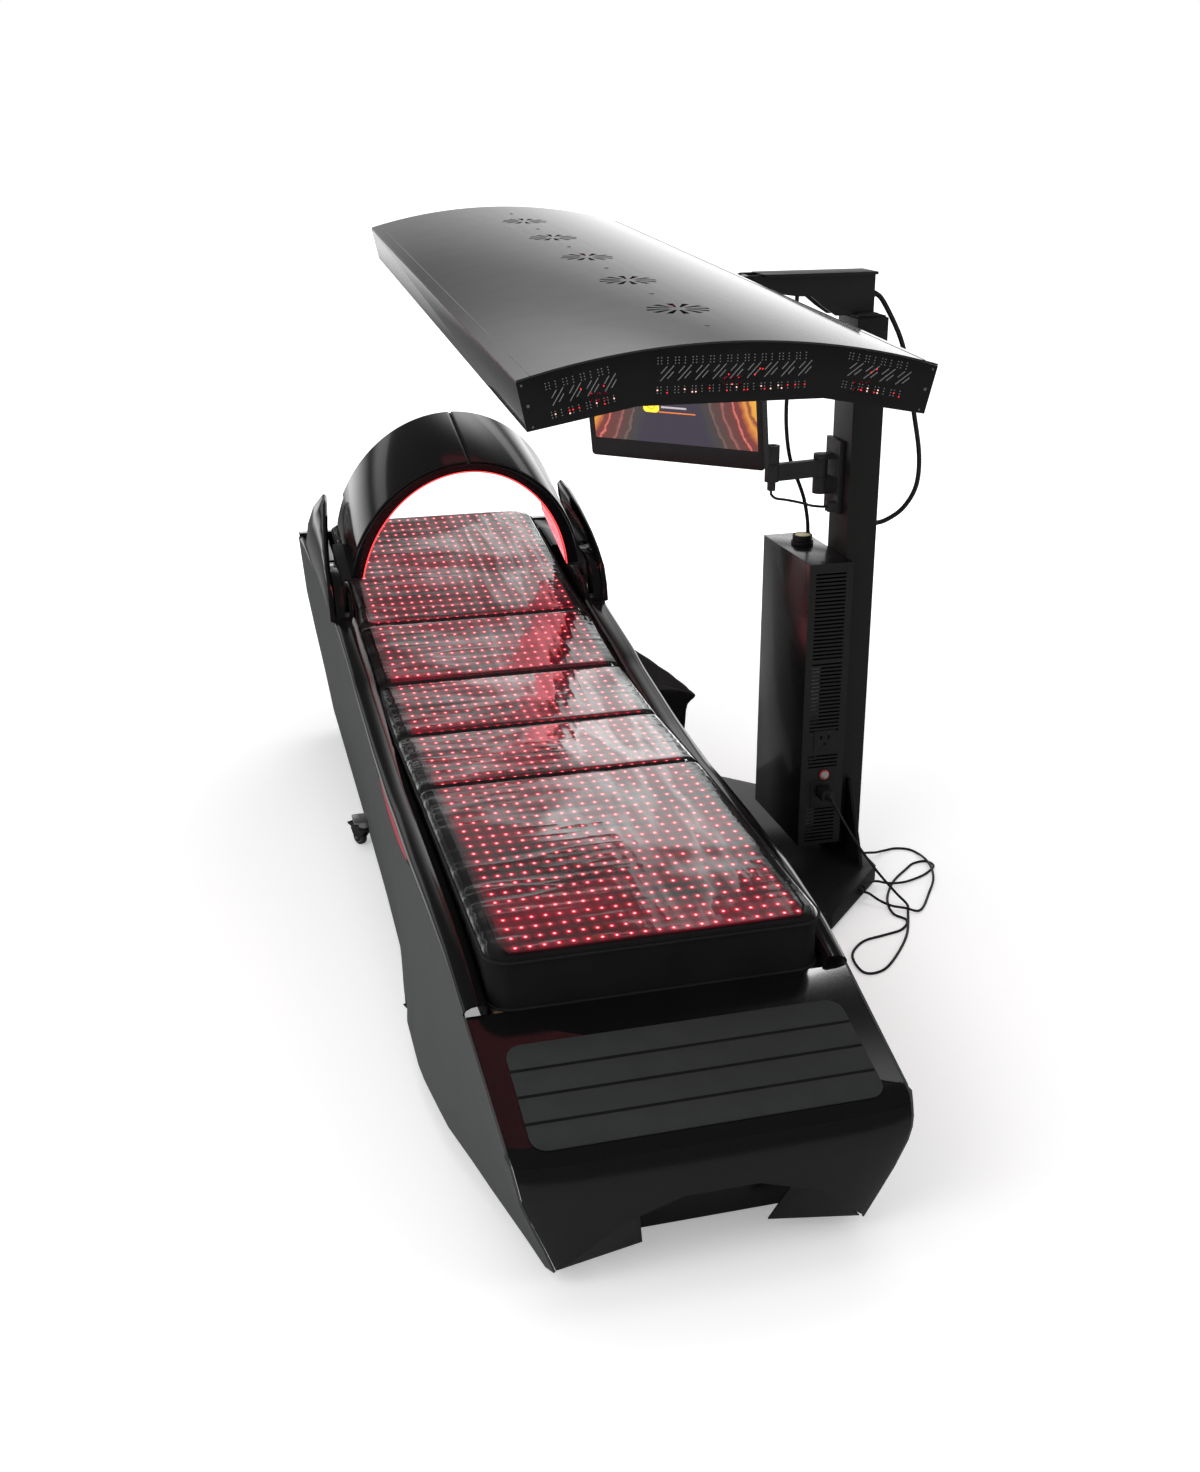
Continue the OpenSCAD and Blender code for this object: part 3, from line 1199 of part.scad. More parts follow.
/* Cords */
power_route = [[690, -232, 234], [690, -247, 228], [706, -262, 196], [736, -278, 142], [782, -298, 74],
    [822, -326, 24], [838, -352, 6], [826, -384, 3], [772, -490, 3], [687, -594, 3], [640, -624, 3],
    [612, -610, 3], [620, -540, 3], [668, -488, 3], [728, -472, 3], [776, -458, 3], [806, -420, 3],
    [790, -380, 3], [808, -310, 3], [859, -231, 3], [920, -174, 3], [950, -150, 3], [984, -146, 3],
    [992, -176, 3], [952, -212, 3], [900, -238, 5], [864, -250, 9], [832, -254, 15], [806, -254, 23],
    [784, -265, 29], [768, -280, 30], [758, -290, 30]];
link_route = [[746, -310, 30], [756, -320, 29], [774, -338, 18], [796, -358, 11], [822, -378, 11],
    [848, -388, 5], [874, -366, 3], [914, -310, 3], [951, -257, 9], [974, -200, 11], [984, -145, 9],
    [985, -95, 3], [972, -70, 3], [944, -58, 3], [912, -66, 5], [880, -84, 12], [850, -98, 21],
    [828, -105, 25], [816.4, -105, 25]];

module power_cord() {
    color([0.05, 0.05, 0.05]) tube(power_route, lead_r, 8);
}

module link_cord() {
    color([0.05, 0.05, 0.05]) tube(link_route, lead_r, 8);
}

// Cables held at both ends, between the head, the column and the arm
canopy_cable_r = 5.5;
lift_cable_r = 4.5;
canopy_route = [[788.4, -66, 1356], [795, -66, 1356], [803, -66, 1355.2], [824, -66, 1336], [868, -68, 1258],
    [892, -68, 1180], [912, -68, 1093], [932, -68, 996], [930, -68, 925], [902, -68, 876],
    [862, -68, 850], [830, -68, 843], [813.4, -68, 843]];
lift_route = [[630, -43, 1356], [630, -41, 1330], [630, -24, 1240], [630, -6, 1134], [636, 5, 1059],
    [650, 14, 992], [672, 26, 945], [698, 38, 890], [714, 50, 840], [720, 56, 806], [720, 56, 784.4]];
lead_x = lead_clip[0] - seat_gap - 0.2;
lead_low = lead_clip[2] + 11;
clip_low = arm_z - clip_h - seat_gap;
monitor_route = [[pivot_b[0], pivot_b[1], clip_low], [pivot_b[0], pivot_b[1], clip_low - 5],
    [pivot_b[0] + 1.2, pivot_b[1] - 0.6, clip_low - 10], [584, -79, clip_low - 17],
    [606, -88, clip_low - 20], [634, -96, lead_low + 18], [662, -94, lead_low + 9],
    [682, -86, lead_low + 4], [lead_x - 12, -79.5, lead_low + 1],
    [lead_x - 6, -78.3, lead_low + 0.3], [lead_x, -78, lead_low]];

module canopy_cable() {
    color([0.05, 0.05, 0.05]) tube(canopy_route, canopy_cable_r, 10);
}

module lift_cable() {
    color([0.05, 0.05, 0.05]) tube(lift_route, lift_cable_r, 10);
}

module monitor_cable() {
    color([0.05, 0.05, 0.05]) tube(monitor_route, lead_r, 8);
}

bed_frame();
mattress_board();
side_panel_left();
side_panel_right();
side_bands();
foot_shell();
foot_deck_mat();
toe_kick_panel();
head_shell();
glow_strips();
mattress_core();
led_mat();
vinyl_cover();
arch_pods();
arch_wings();
arch_arms();
arch_shell();
arch_covers();
arch_liner();
side_flap();
caster_plates();
caster_fork(0);  // caster_fork_1
caster_fork(1);  // caster_fork_2
caster_fork(2);  // caster_fork_3
caster_fork(3);  // caster_fork_4
caster_wheel(0);  // caster_wheel_1
caster_wheel(1);  // caster_wheel_2
caster_wheel(2);  // caster_wheel_3
caster_wheel(3);  // caster_wheel_4
caster_pedal(0);  // caster_pedal_1
caster_pedal(1);  // caster_pedal_2
caster_pedal(2);  // caster_pedal_3
caster_pedal(3);  // caster_pedal_4
stand_base();
base_feet();
column_tube();
lift_post();
head_bracket();
canopy_skin();
canopy_frame();
led_panels();
canopy_fans();
cabinet_case();
cabinet_front();
power_sockets();
power_button();
power_supply();
power_plug();
power_cord();
link_cord();
handset();
arm_plate();
arm_link();
arm_head();
monitor_housing();
monitor_screen();
canopy_cable();
lift_cable();
monitor_cable();
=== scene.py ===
"""Looks of the red light therapy bed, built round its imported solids.

X runs across the bed, Y from the foot to the head, Z up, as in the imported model. Lengths
are in metres, unless a name ends in _mm or a class says that its sizes are in mm. The
mattress, the hood and the casters are measured along the bed from the nose, which lies
BASE_Y_MM in front of the origin. Angles are in degrees.
"""

import json
import logging
import math
from collections.abc import Callable, Sequence
from dataclasses import dataclass
from enum import Enum
from functools import partial

import bpy
import numpy as np
from mathutils import Euler, Matrix, Vector

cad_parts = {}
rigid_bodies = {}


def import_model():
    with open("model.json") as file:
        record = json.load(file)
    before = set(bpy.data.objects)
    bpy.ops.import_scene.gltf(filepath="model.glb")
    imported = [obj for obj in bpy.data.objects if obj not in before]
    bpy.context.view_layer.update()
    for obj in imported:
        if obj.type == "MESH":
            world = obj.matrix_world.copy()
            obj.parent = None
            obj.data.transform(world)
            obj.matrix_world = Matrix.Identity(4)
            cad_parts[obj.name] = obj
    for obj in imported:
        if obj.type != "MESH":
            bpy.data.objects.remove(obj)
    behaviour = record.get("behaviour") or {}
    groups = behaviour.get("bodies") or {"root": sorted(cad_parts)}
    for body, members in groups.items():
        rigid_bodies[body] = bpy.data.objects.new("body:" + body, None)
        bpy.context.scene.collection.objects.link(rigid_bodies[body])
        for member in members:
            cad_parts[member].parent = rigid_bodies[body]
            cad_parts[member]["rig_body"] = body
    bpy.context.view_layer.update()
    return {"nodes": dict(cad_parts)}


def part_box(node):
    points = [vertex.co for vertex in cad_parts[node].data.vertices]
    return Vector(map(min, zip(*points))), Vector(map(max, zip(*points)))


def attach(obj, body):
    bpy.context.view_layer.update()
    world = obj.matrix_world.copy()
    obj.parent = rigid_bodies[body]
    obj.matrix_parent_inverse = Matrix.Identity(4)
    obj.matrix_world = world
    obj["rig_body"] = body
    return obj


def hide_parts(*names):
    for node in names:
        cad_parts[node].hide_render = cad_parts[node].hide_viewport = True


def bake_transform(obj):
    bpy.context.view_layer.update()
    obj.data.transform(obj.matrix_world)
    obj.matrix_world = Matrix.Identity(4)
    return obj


logging.basicConfig(level=logging.INFO, format="%(name)s: %(message)s")
log = logging.getLogger("therapy bed")

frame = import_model()

MM = 0.001
BASE_Y_MM = 1450.0
MERGE_DISTANCE = 0.00002
FLAT_DEGREES = 0.5
BLACK = (0.0, 0.0, 0.0)
WHITE = (1.0, 1.0, 1.0)

Point = tuple[float, float, float]
Colour = tuple[float, float, float]
Pair = tuple[float, float]
Object = bpy.types.Object
Material = bpy.types.Material
Tree = bpy.types.NodeTree
Node = bpy.types.Node
Socket = bpy.types.NodeSocket


# ---------------------------------------------------------------- modelling helpers


def clear_selection() -> None:
    """Leaves edit mode and deselects every object."""
    if bpy.context.object and bpy.context.object.mode != "OBJECT":
        bpy.ops.object.mode_set(mode="OBJECT")
    for o in bpy.context.view_layer.objects:
        o.select_set(False)


def pick(obj: Object) -> None:
    """Makes obj the only selected and the active object.

    Args:
        obj: The object.
    """
    clear_selection()
    obj.select_set(True)
    bpy.context.view_layer.objects.active = obj


def edit(obj: Object) -> None:
    """Opens obj in edit mode with all its points selected.

    Args:
        obj: The mesh object.
    """
    pick(obj)
    bpy.ops.object.mode_set(mode="EDIT")
    bpy.ops.mesh.select_mode(type="VERT")
    bpy.ops.mesh.select_all(action="SELECT")


def settle(obj: Object) -> Object:
    """Puts obj's place into its mesh, so that the object itself sits at the origin.

    Args:
        obj: The object.

    Returns:
        The same object.
    """
    pick(obj)
    bpy.ops.object.transform_apply(location=True, rotation=True, scale=True)
    return obj


def named(name: str) -> Object:
    """Names the primitive that was just added and puts its place into its mesh."""
    bpy.context.object.name = name
    return settle(bpy.context.object)


def modify(obj: Object, kind: str, **values: object) -> None:
    """Adds one modifier to obj and applies it.

    Args:
        obj: The mesh object.
        kind: The modifier's type, such as BEVEL.
        values: The modifier's settings.
    """
    pick(obj)
    modifier = obj.modifiers.new(kind.title(), kind)
    for key, value in values.items():
        setattr(modifier, key, value)
    bpy.ops.object.modifier_apply(modifier=modifier.name)


def smooth(obj: Object, degrees: float = 35) -> Object:
    """Shades obj smooth, with sharp edges past an angle, and gives it back.

    Args:
        obj: The mesh object.
        degrees: Angle past which an edge stays sharp.

    Returns:
        The same object.
    """
    pick(obj)
    bpy.ops.object.shade_smooth_by_angle(angle=math.radians(degrees))
    return obj


def outward(obj: Object, merge: float = MERGE_DISTANCE) -> Object:
    """Merges doubled points and turns the faces outwards.

    Args:
        obj: The mesh object.
        merge: How near two points are one.

    Returns:
        The same object.
    """
    edit(obj)
    bpy.ops.mesh.remove_doubles(threshold=merge)
    bpy.ops.mesh.normals_make_consistent(inside=False)
    bpy.ops.object.mode_set(mode="OBJECT")
    return obj


def round_edges(obj: Object, width: float, segments: int, degrees: float = 35) -> None:
    """Bevels the sharp edges of obj and shades it smooth.

    Args:
        obj: The mesh object.
        width: Radius of its edges.
        segments: Steps in each rounded edge.
        degrees: Angle past which an edge is rounded.
    """
    modify(obj, "BEVEL", width=width, segments=segments, limit_method="ANGLE",
           angle_limit=math.radians(degrees), harden_normals=False, use_clamp_overlap=True)
    smooth(obj, degrees)


def along(axis: Sequence[float]) -> Euler:
    """The turn that lays a primitive's own Z along an axis."""
    return Vector(axis).to_track_quat("Z", "Y").to_euler()


def frame_at(place_mm: Point, yaw: float = 0.0, pitch: float = 0.0) -> Matrix:
    """A frame of its own for a sub-assembly, with its sizes in mm.

    Args:
        place_mm: Where its origin lies, in mm from the model's.
        yaw: Its turn about Z.
        pitch: Its turn about its own X.

    Returns:
        The matrix that places what is made in it.
    """
    return (Matrix.Translation(Vector(place_mm) * MM) @ Matrix.Rotation(math.radians(yaw), 4, "Z")
            @ Matrix.Rotation(math.radians(pitch), 4, "X") @ Matrix.Scale(MM, 4))


def rod(name: str, start: Sequence[float], end: Sequence[float], radius: float, far_radius: float,
        sides: int, bevel: float = 0.0) -> Object:
    """A round bar or cone from one point to another.

    Args:
        name: The new object's name.
        start: Middle of its first end.
        end: Middle of its other end.
        radius: Radius at the start.
        far_radius: Radius at the end.
        sides: Facets round it.
        bevel: Radius of the edges of its ends.

    Returns:
        The new object.
    """
    clear_selection()
    a, b = Vector(start), Vector(end)
    bpy.ops.mesh.primitive_cone_add(vertices=sides, radius1=radius, radius2=far_radius,
                                    depth=(b - a).length, location=(a + b) / 2, rotation=along(b - a))
    obj = named(name)
    if bevel:
        round_edges(obj, bevel, 2)
    return smooth(obj)


def ring(name: str, centre: Sequence[float], axis: Sequence[float], radius: float, thick: float,
         sides: int = 48, tube_sides: int = 10) -> Object:
    """A round ring about an axis.

    Args:
        name: The new object's name.
        centre: Its middle.
        axis: The direction that it turns about.
        radius: Radius of its centre line.
        thick: Radius of its section.
        sides: Steps round it.
        tube_sides: Steps round its section.

    Returns:
        The new object.
    """
    clear_selection()
    bpy.ops.mesh.primitive_torus_add(major_radius=radius, minor_radius=thick, major_segments=sides,
                                     minor_segments=tube_sides, location=centre, rotation=along(axis))
    return smooth(named(name), 60)


def join(name: str, parts: Sequence[Object]) -> Object:
    """Joins several objects into one, under a new name.

    Args:
        name: The joined object's name.
        parts: The objects.

    Returns:
        The joined object.
    """
    clear_selection()
    for part in parts:
        part.select_set(True)
    bpy.context.view_layer.objects.active = parts[0]
    bpy.ops.object.join()
    parts[0].name = name
    return parts[0]


def linked(name: str, data: bpy.types.ID) -> Object:
    """A new object in the scene, with a mesh, a curve, a lamp or a camera.

    Args:
        name: The new object's name.
        data: What it shows.

    Returns:
        The new object.
    """
    obj = bpy.data.objects.new(name, data)
    bpy.context.scene.collection.objects.link(obj)
    return obj


def mesh_object(name: str, points: Sequence[Sequence[float]], faces: Sequence[Sequence[int]]) -> Object:
    """A mesh object from points and faces, for skins that no primitive leads to.

    Args:
        name: The new object's name.
        points: Its vertices.
        faces: Vertex numbers of its faces.

    Returns:
        The new object.
    """
    mesh = bpy.data.meshes.new(name)
    mesh.from_pydata([tuple(p) for p in points], [], [tuple(f) for f in faces])
    mesh.validate()
    return linked(name, mesh)


def grid_object(name: str, rows: np.ndarray) -> Object:
    """A sheet over a grid of points, rows by columns by three.

    Args:
        name: The new object's name.
        rows: The grid's points.

    Returns:
        The new object.
    """
    m, n = rows.shape[:2]
    faces = [(s * n + k, s * n + k + 1, (s + 1) * n + k + 1, (s + 1) * n + k)
             for s in range(m - 1) for k in range(n - 1)]
    return mesh_object(name, rows.reshape(-1, 3), faces)


def cad_copy(node: str, name: str, degrees: float, bevel: float = 0.0, segments: int = 2) -> Object:
    """A merged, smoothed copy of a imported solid, which it then stands for.

    Args:
        node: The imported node.
        name: The new object's name.
        degrees: Angle past which an edge stays sharp.
        bevel: Radius of its sharp edges.
        segments: Steps in each rounded edge.

    Returns:
        The new object, riding on the node's body.
    """
    source = frame["nodes"][node]
    obj = linked(name, source.data.copy())
    obj.data.materials.clear()
    edit(obj)
    bpy.ops.mesh.remove_doubles(threshold=MERGE_DISTANCE)
    bpy.ops.mesh.dissolve_limited(angle_limit=math.radians(FLAT_DEGREES))
    bpy.ops.object.mode_set(mode="OBJECT")
    if bevel:
        round_edges(obj, bevel, segments, degrees)
    else:
        smooth(obj, degrees)
    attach(obj, source["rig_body"])
    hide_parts(node)
    return obj


def mount(obj: Object, body: str, material: Material, stands_for: Sequence[str] = ()) -> Object:
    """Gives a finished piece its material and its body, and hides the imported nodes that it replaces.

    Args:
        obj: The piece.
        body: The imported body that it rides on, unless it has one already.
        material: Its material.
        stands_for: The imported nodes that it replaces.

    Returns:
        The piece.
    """
    obj.data.materials.clear()
    obj.data.materials.append(material)
    if "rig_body" not in obj:
        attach(obj, body)
    if stands_for:
        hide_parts(*stands_for)
    return obj


def dress(node: str, name: str, finish: "Finish | LampSheet", degrees: float = 30,
          bevel: float = 0.0, segments: int = 2) -> Object:
    """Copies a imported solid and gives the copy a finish.

    Args:
        node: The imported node.
        name: The copy's name.
        finish: Its finish.
        degrees: Angle past which an edge stays sharp.
        bevel: Radius of its sharp edges.
        segments: Steps in each rounded edge.

    Returns:
        The copy.
    """
    obj = cad_copy(node, name, degrees, bevel, segments)
    return mount(obj, obj["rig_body"], finish.build())


def second_finish(obj: Object, finish: "Finish", test: Callable[[bpy.types.MeshPolygon], bool]) -> None:
    """Gives the faces of obj that pass a test a second finish.

    Args:
        obj: The piece.
        finish: Its second finish.
        test: Says of a face whether it gets that finish.
    """
    obj.data.materials.append(finish.build())
    for face in obj.data.polygons:
        if test(face):
            face.material_index = 1


# ---------------------------------------------------------------- materials


def feed(socket: Socket, value: object) -> None:
    """Links an output to an input socket, or sets the socket to a value.

    Args:
        socket: The input socket.
        value: An output, a number, a vector or a colour.
    """
    if isinstance(value, Socket):
        socket.id_data.links.new(value, socket)
    elif socket.type == "RGBA":
        socket.default_value = (*value, 1)
    else:
        socket.default_value = value


def fill(node: Node, **inputs: object) -> Node:
    """Feeds a node's inputs.

    Args:
        node: The node.
        inputs: A value or an output for each input, with blanks in its name as underscores.

    Returns:
        The same node.
    """
    for key, value in inputs.items():
        feed(node.inputs[key.replace("_", " ")], value)
    return node


def add(tree: Tree, kind: str, **inputs: object) -> Node:
    """Adds a shader node of a kind to a tree and feeds its inputs."""
    return fill(tree.nodes.new(f"ShaderNode{kind}"), **inputs)


def add_group(tree: Tree, group: Tree, **inputs: object) -> Node:
    """Places a node group in a tree and feeds its inputs.

    Args:
        tree: The tree that it is placed in.
        group: The node group.
        inputs: Its inputs, as for fill.

    Returns:
        The group's node.
    """
    node = tree.nodes.new("ShaderNodeGroup")
    node.node_tree = group
    return fill(node, **inputs)


def math_node(tree: Tree, operation: str, *values: object, kind: str = "Math",
              clamp: bool = False) -> Socket:
    """Adds a Math node.

    Args:
        tree: The tree that it is added to.
        operation: What it works out.
        values: Its inputs, as numbers or outputs.
        kind: Math, or VectorMath for one that takes vectors.
        clamp: Whether its result is held between 0 and 1.

    Returns:
        Its output.
    """
    node = add(tree, kind)
    node.operation = operation
    if clamp:
        node.use_clamp = True
    for socket, value in zip(node.inputs, values):
        feed(socket, value)
    return node.outputs["Value"]


def ramp(tree: Tree, value: Socket, start: float, width: float) -> Socket:
    """How far a value has come from start over a width, held between 0 and 1."""
    return math_node(tree, "DIVIDE", math_node(tree, "SUBTRACT", value, start), width, clamp=True)


def mix_colours(tree: Tree, share: Socket, first: object, second: object) -> Socket:
    """Adds a colour Mix node.

    Args:
        tree: The tree that it is added to.
        share: How much of the second colour there is.
        first: A colour or an output.
        second: A colour or an output.

    Returns:
        Its output.
    """
    node = add(tree, "Mix")
    node.data_type = "RGBA"
    for socket, value in ((0, share), (6, first), (7, second)):
        feed(node.inputs[socket], value)
    return node.outputs[2]


def stretched(tree: Tree, place: Socket, scale: Point, degrees: float = 0.0) -> Socket:
    """A place turned about Z and scaled along each axis."""
    turn = (0, 0, math.radians(degrees))
    return add(tree, "Mapping", Vector=place, Rotation=turn, Scale=scale).outputs["Vector"]


def noise(tree: Tree, place: Socket, scale: object, detail: float = 2.0) -> Socket:
    """A noise texture's value at a place."""
    return add(tree, "TexNoise", Vector=place, Scale=scale, Detail=detail).outputs["Fac"]


def relief(tree: Tree, height: Socket, strength: float, depth: float) -> Socket:
    """The normal of a surface that a height raises a little."""
    return add(tree, "Bump", Strength=strength, Distance=depth, Height=height).outputs["Normal"]


def object_place(tree: Tree) -> Socket:
    """Where a point lies in its own object."""
    return add(tree, "TexCoord").outputs["Object"]


def axes(tree: Tree, place: Socket) -> tuple[Socket, Socket, Socket]:
    """The X, Y and Z of a place."""
    return tuple(add(tree, "SeparateXYZ", Vector=place).outputs)


def rays(tree: Tree) -> tuple[Socket, Socket]:
    """Whether a ray comes from the camera or through glass, and whether it is mirrored.

    Args:
        tree: The tree that asks.

    Returns:
        The two outputs.
    """
    path = add(tree, "LightPath").outputs
    seen = math_node(tree, "MAXIMUM", path["Is Camera Ray"], path["Is Transmission Ray"])
    return seen, path["Is Glossy Ray"]


def plain_material(name: str) -> tuple[Material, Tree, Node]:
    """A new material with an empty Principled shader, its tree and that shader.

    Args:
        name: The material's name.

    Returns:
        The material, its tree and its shader.
    """
    material = bpy.data.materials.new(name)
    material.use_nodes = True
    return material, material.node_tree, material.node_tree.nodes["Principled BSDF"]


def lit(name: str, colour: Colour, strength: float, base: Colour | None = None) -> Material:
    """A plain lit colour.

    Args:
        name: The material's name.
        colour: The colour of its light.
        strength: How bright it is.
        base: The colour under its light, if it is another one.

    Returns:
        The new material.
    """
    material, _, shader = plain_material(name)
    fill(shader, Base_Color=base or colour, Emission_Color=colour, Emission_Strength=strength)
    return material


def shared_group(name: str, inputs: dict[str, object], outputs: dict[str, str],
                 draw: Callable[[Tree, Node, Node], None]) -> Tree:
    """A shader node group, made when it is first asked for.

    Args:
        name: The group's name.
        inputs: Each input's default: a number, a colour, or None for a place.
        outputs: Each output's kind, Float or Color.
        draw: Adds its nodes, given its tree, its input node and its output node.

    Returns:
        The group.
    """
    if name not in bpy.data.node_groups:
        tree = bpy.data.node_groups.new(name, "ShaderNodeTree")
        for label, default in inputs.items():
            kind = "Vector" if default is None else "Float" if isinstance(default, float) else "Color"
            socket = tree.interface.new_socket(label, in_out="INPUT", socket_type=f"NodeSocket{kind}")
            if default is not None:
                socket.default_value = default if kind == "Float" else (*default, 1)
        for label, kind in outputs.items():
            tree.interface.new_socket(label, in_out="OUTPUT", socket_type=f"NodeSocket{kind}")
        draw(tree, tree.nodes.new("NodeGroupInput"), tree.nodes.new("NodeGroupOutput"))
    return bpy.data.node_groups[name]


class Weave(Enum):
    """How a surface is broken up, by the name of its node group."""

    GRAIN = "surface grain"
    CLOTH = "woven cloth"
    BRUSHED = "brushed metal"


def draw_break_up(weave: Weave, tree: Tree, start: Node, end: Node) -> None:
    """Clouds that vary a surface's colour and gloss, over a fine relief.

    Args:
        weave: Moulded or painted grain, woven threads, or lines brushed along Z.
        tree: The group's tree.
        start: Its input node.
        end: Its output node.
    """
    calc = partial(math_node, tree)
    place, scale = start.outputs["Place"], start.outputs["Scale"]
    if weave is Weave.GRAIN:
        cloud = noise(tree, place, calc("MULTIPLY", scale, 0.06), 4.0)
        height = noise(tree, place, scale, 3.0)
    elif weave is Weave.CLOTH:
        cloud = noise(tree, place, 14.0, 4.0)
        threads = []
        for direction in "XYZ":
            wave = add(tree, "TexWave", Vector=place, Scale=scale, Distortion=0.4)
            wave.bands_direction = direction
            threads.append(wave.outputs["Fac"])
        height = calc("MULTIPLY", calc("ADD", calc("ADD", threads[0], threads[1]), threads[2]), 0.33)
    else:
        cloud = height = noise(tree, stretched(tree, place, (1, 1, 0.02)), scale, 4.0)
    offset = calc("MULTIPLY", calc("SUBTRACT", cloud, 0.5), start.outputs["Spread"])
    fill(end, Colour=mix_colours(tree, cloud, start.outputs["Colour"], start.outputs["Tint"]),
         Rough=calc("ADD", start.outputs["Rough"], offset), Height=height)


def break_up_group(weave: Weave) -> Tree:
    """The node group that breaks up a surface.

    Args:
        weave: How the surface is broken up.

    Returns:
        The group.
    """
    inputs = {"Place": None, "Colour": BLACK, "Tint": BLACK, "Rough": 0.5, "Spread": 0.05, "Scale": 90.0}
    outputs = {"Colour": "Color", "Rough": "Float", "Height": "Float"}
    return shared_group(weave.value, inputs, outputs, partial(draw_break_up, weave))


def draw_lamps(tree: Tree, start: Node, end: Node) -> None:
    """Lamps in a grid: a bright core, a ring round it and a soft halo, as far out as they reach.

    Args:
        tree: The group's tree.
        start: Its input node.
        end: Its output node.
    """
    calc = partial(math_node, tree)
    x, y, _ = axes(tree, start.outputs["Place"])
    squares = []
    for axis, value in (("X", x), ("Y", y)):
        pitch = start.outputs[f"Pitch {axis}"]
        count = calc("DIVIDE", calc("SUBTRACT", value, start.outputs[f"Start {axis}"]), pitch)
        away = calc("MULTIPLY", calc("SUBTRACT", count, calc("ROUND", count)), pitch)
        squares.append(calc("MULTIPLY", away, away))
    distance = calc("SQRT", calc("ADD", *squares))
    within = calc("LESS_THAN", calc("ABSOLUTE", x), start.outputs["Reach"])
    fill(end, Lit=within)
    for label, sharp in (("Core", 4.0), ("Ring", 5.0), ("Halo", 1.0)):
        share = calc("POWER", calc("DIVIDE", distance, start.outputs[label]), sharp)
        feed(end.inputs[label], calc("MULTIPLY", calc("SUBTRACT", 1.0, share, clamp=True), within))


def lamp_group() -> Tree:
    """The node group of a grid of lamps.

    Returns:
        The group.
    """
    inputs = {"Place": None, "Pitch X": 0.025, "Pitch Y": 0.0324, "Start X": 0.0, "Start Y": 0.0,
              "Core": 0.0022, "Ring": 0.004, "Halo": 0.012, "Reach": 0.3}
    outputs = dict.fromkeys(("Core", "Ring", "Halo", "Lit"), "Float")
    return shared_group("lamp grid", inputs, outputs, draw_lamps)


@dataclass(frozen=True)
class Finish:
    """One finish: its colours, its gloss and the grain of its surface."""

    name: str
    colour: Colour
    tint: Colour
    rough: float
    metal: float = 0.0
    coat: float = 0.0
    spread: float = 0.06
    scale: float = 90.0
    bump: float = 0.02
    depth: float = 0.0004
    weave: Weave = Weave.GRAIN

    def build(self) -> Material:
        """Makes the finish's material once and gives it back.

        Returns:
            The material.
        """
        if self.name in bpy.data.materials:
            return bpy.data.materials[self.name]
        material, tree, shader = plain_material(self.name)
        surface = add_group(tree, break_up_group(self.weave), Place=object_place(tree), Colour=self.colour,
                            Tint=self.tint, Rough=self.rough, Spread=self.spread, Scale=self.scale).outputs
        fill(shader, Base_Color=surface["Colour"], Roughness=surface["Rough"], Metallic=self.metal,
             Coat_Weight=self.coat, Coat_Roughness=0.06,
             Normal=relief(tree, surface["Height"], self.bump, self.depth))
        return material


@dataclass(frozen=True)
class LampSheet:
    """A dark sheet set with red lamps that have pale cores, and their red glow painted on the sheet round
    them.
    """

    name: str
    sheet: Colour
    tint: Colour
    rough: float
    grid: tuple[tuple[str, float], ...]
    glow: float
    # led_spill and halo: painted glow of the lamps on the sheet, not lamps of their own.
    led_spill: Colour = (0.10, 0.0, 0.006)
    halo: Colour = (0.42, 0.002, 0.02)
    ring: Colour = (1.0, 0.012, 0.05)
    core: Colour = (1.0, 0.74, 0.72)

    def build(self) -> Material:
        """Makes the material: lamps, their rings, and their glow painted on the sheet as a red spill between
        them and a halo round each.

        Returns:
            The material.
        """
        material, tree, shader = plain_material(self.name)
        calc, place = partial(math_node, tree), object_place(tree)
        surface = add_group(tree, break_up_group(Weave.GRAIN), Place=place, Colour=self.sheet,
                            Tint=self.tint, Rough=self.rough, Spread=0.1, Scale=70.0).outputs
        dots = add_group(tree, lamp_group(), Place=place, **dict(self.grid)).outputs
        cloud = noise(tree, stretched(tree, place, (3.0, 9.0, 1.0)), 1.6, 3.0)
        # Painted light: the red spill between the lamps and the soft halo round each are the lamps' glow
        # painted on the sheet.
        light = BLACK
        for share, colour in ((calc("MULTIPLY", ramp(tree, cloud, 0.36, 1 / 3.2), dots["Lit"]), self.led_spill),
                              (calc("MULTIPLY", dots["Halo"], 0.4), self.halo),
                              (dots["Ring"], self.ring), (dots["Core"], self.core)):
            light = mix_colours(tree, share, light, colour)
        fill(shader, Base_Color=surface["Colour"], Roughness=surface["Rough"], Emission_Color=light,
             Emission_Strength=self.glow, Normal=relief(tree, dots["Ring"], 0.4, 0.002))
        return material


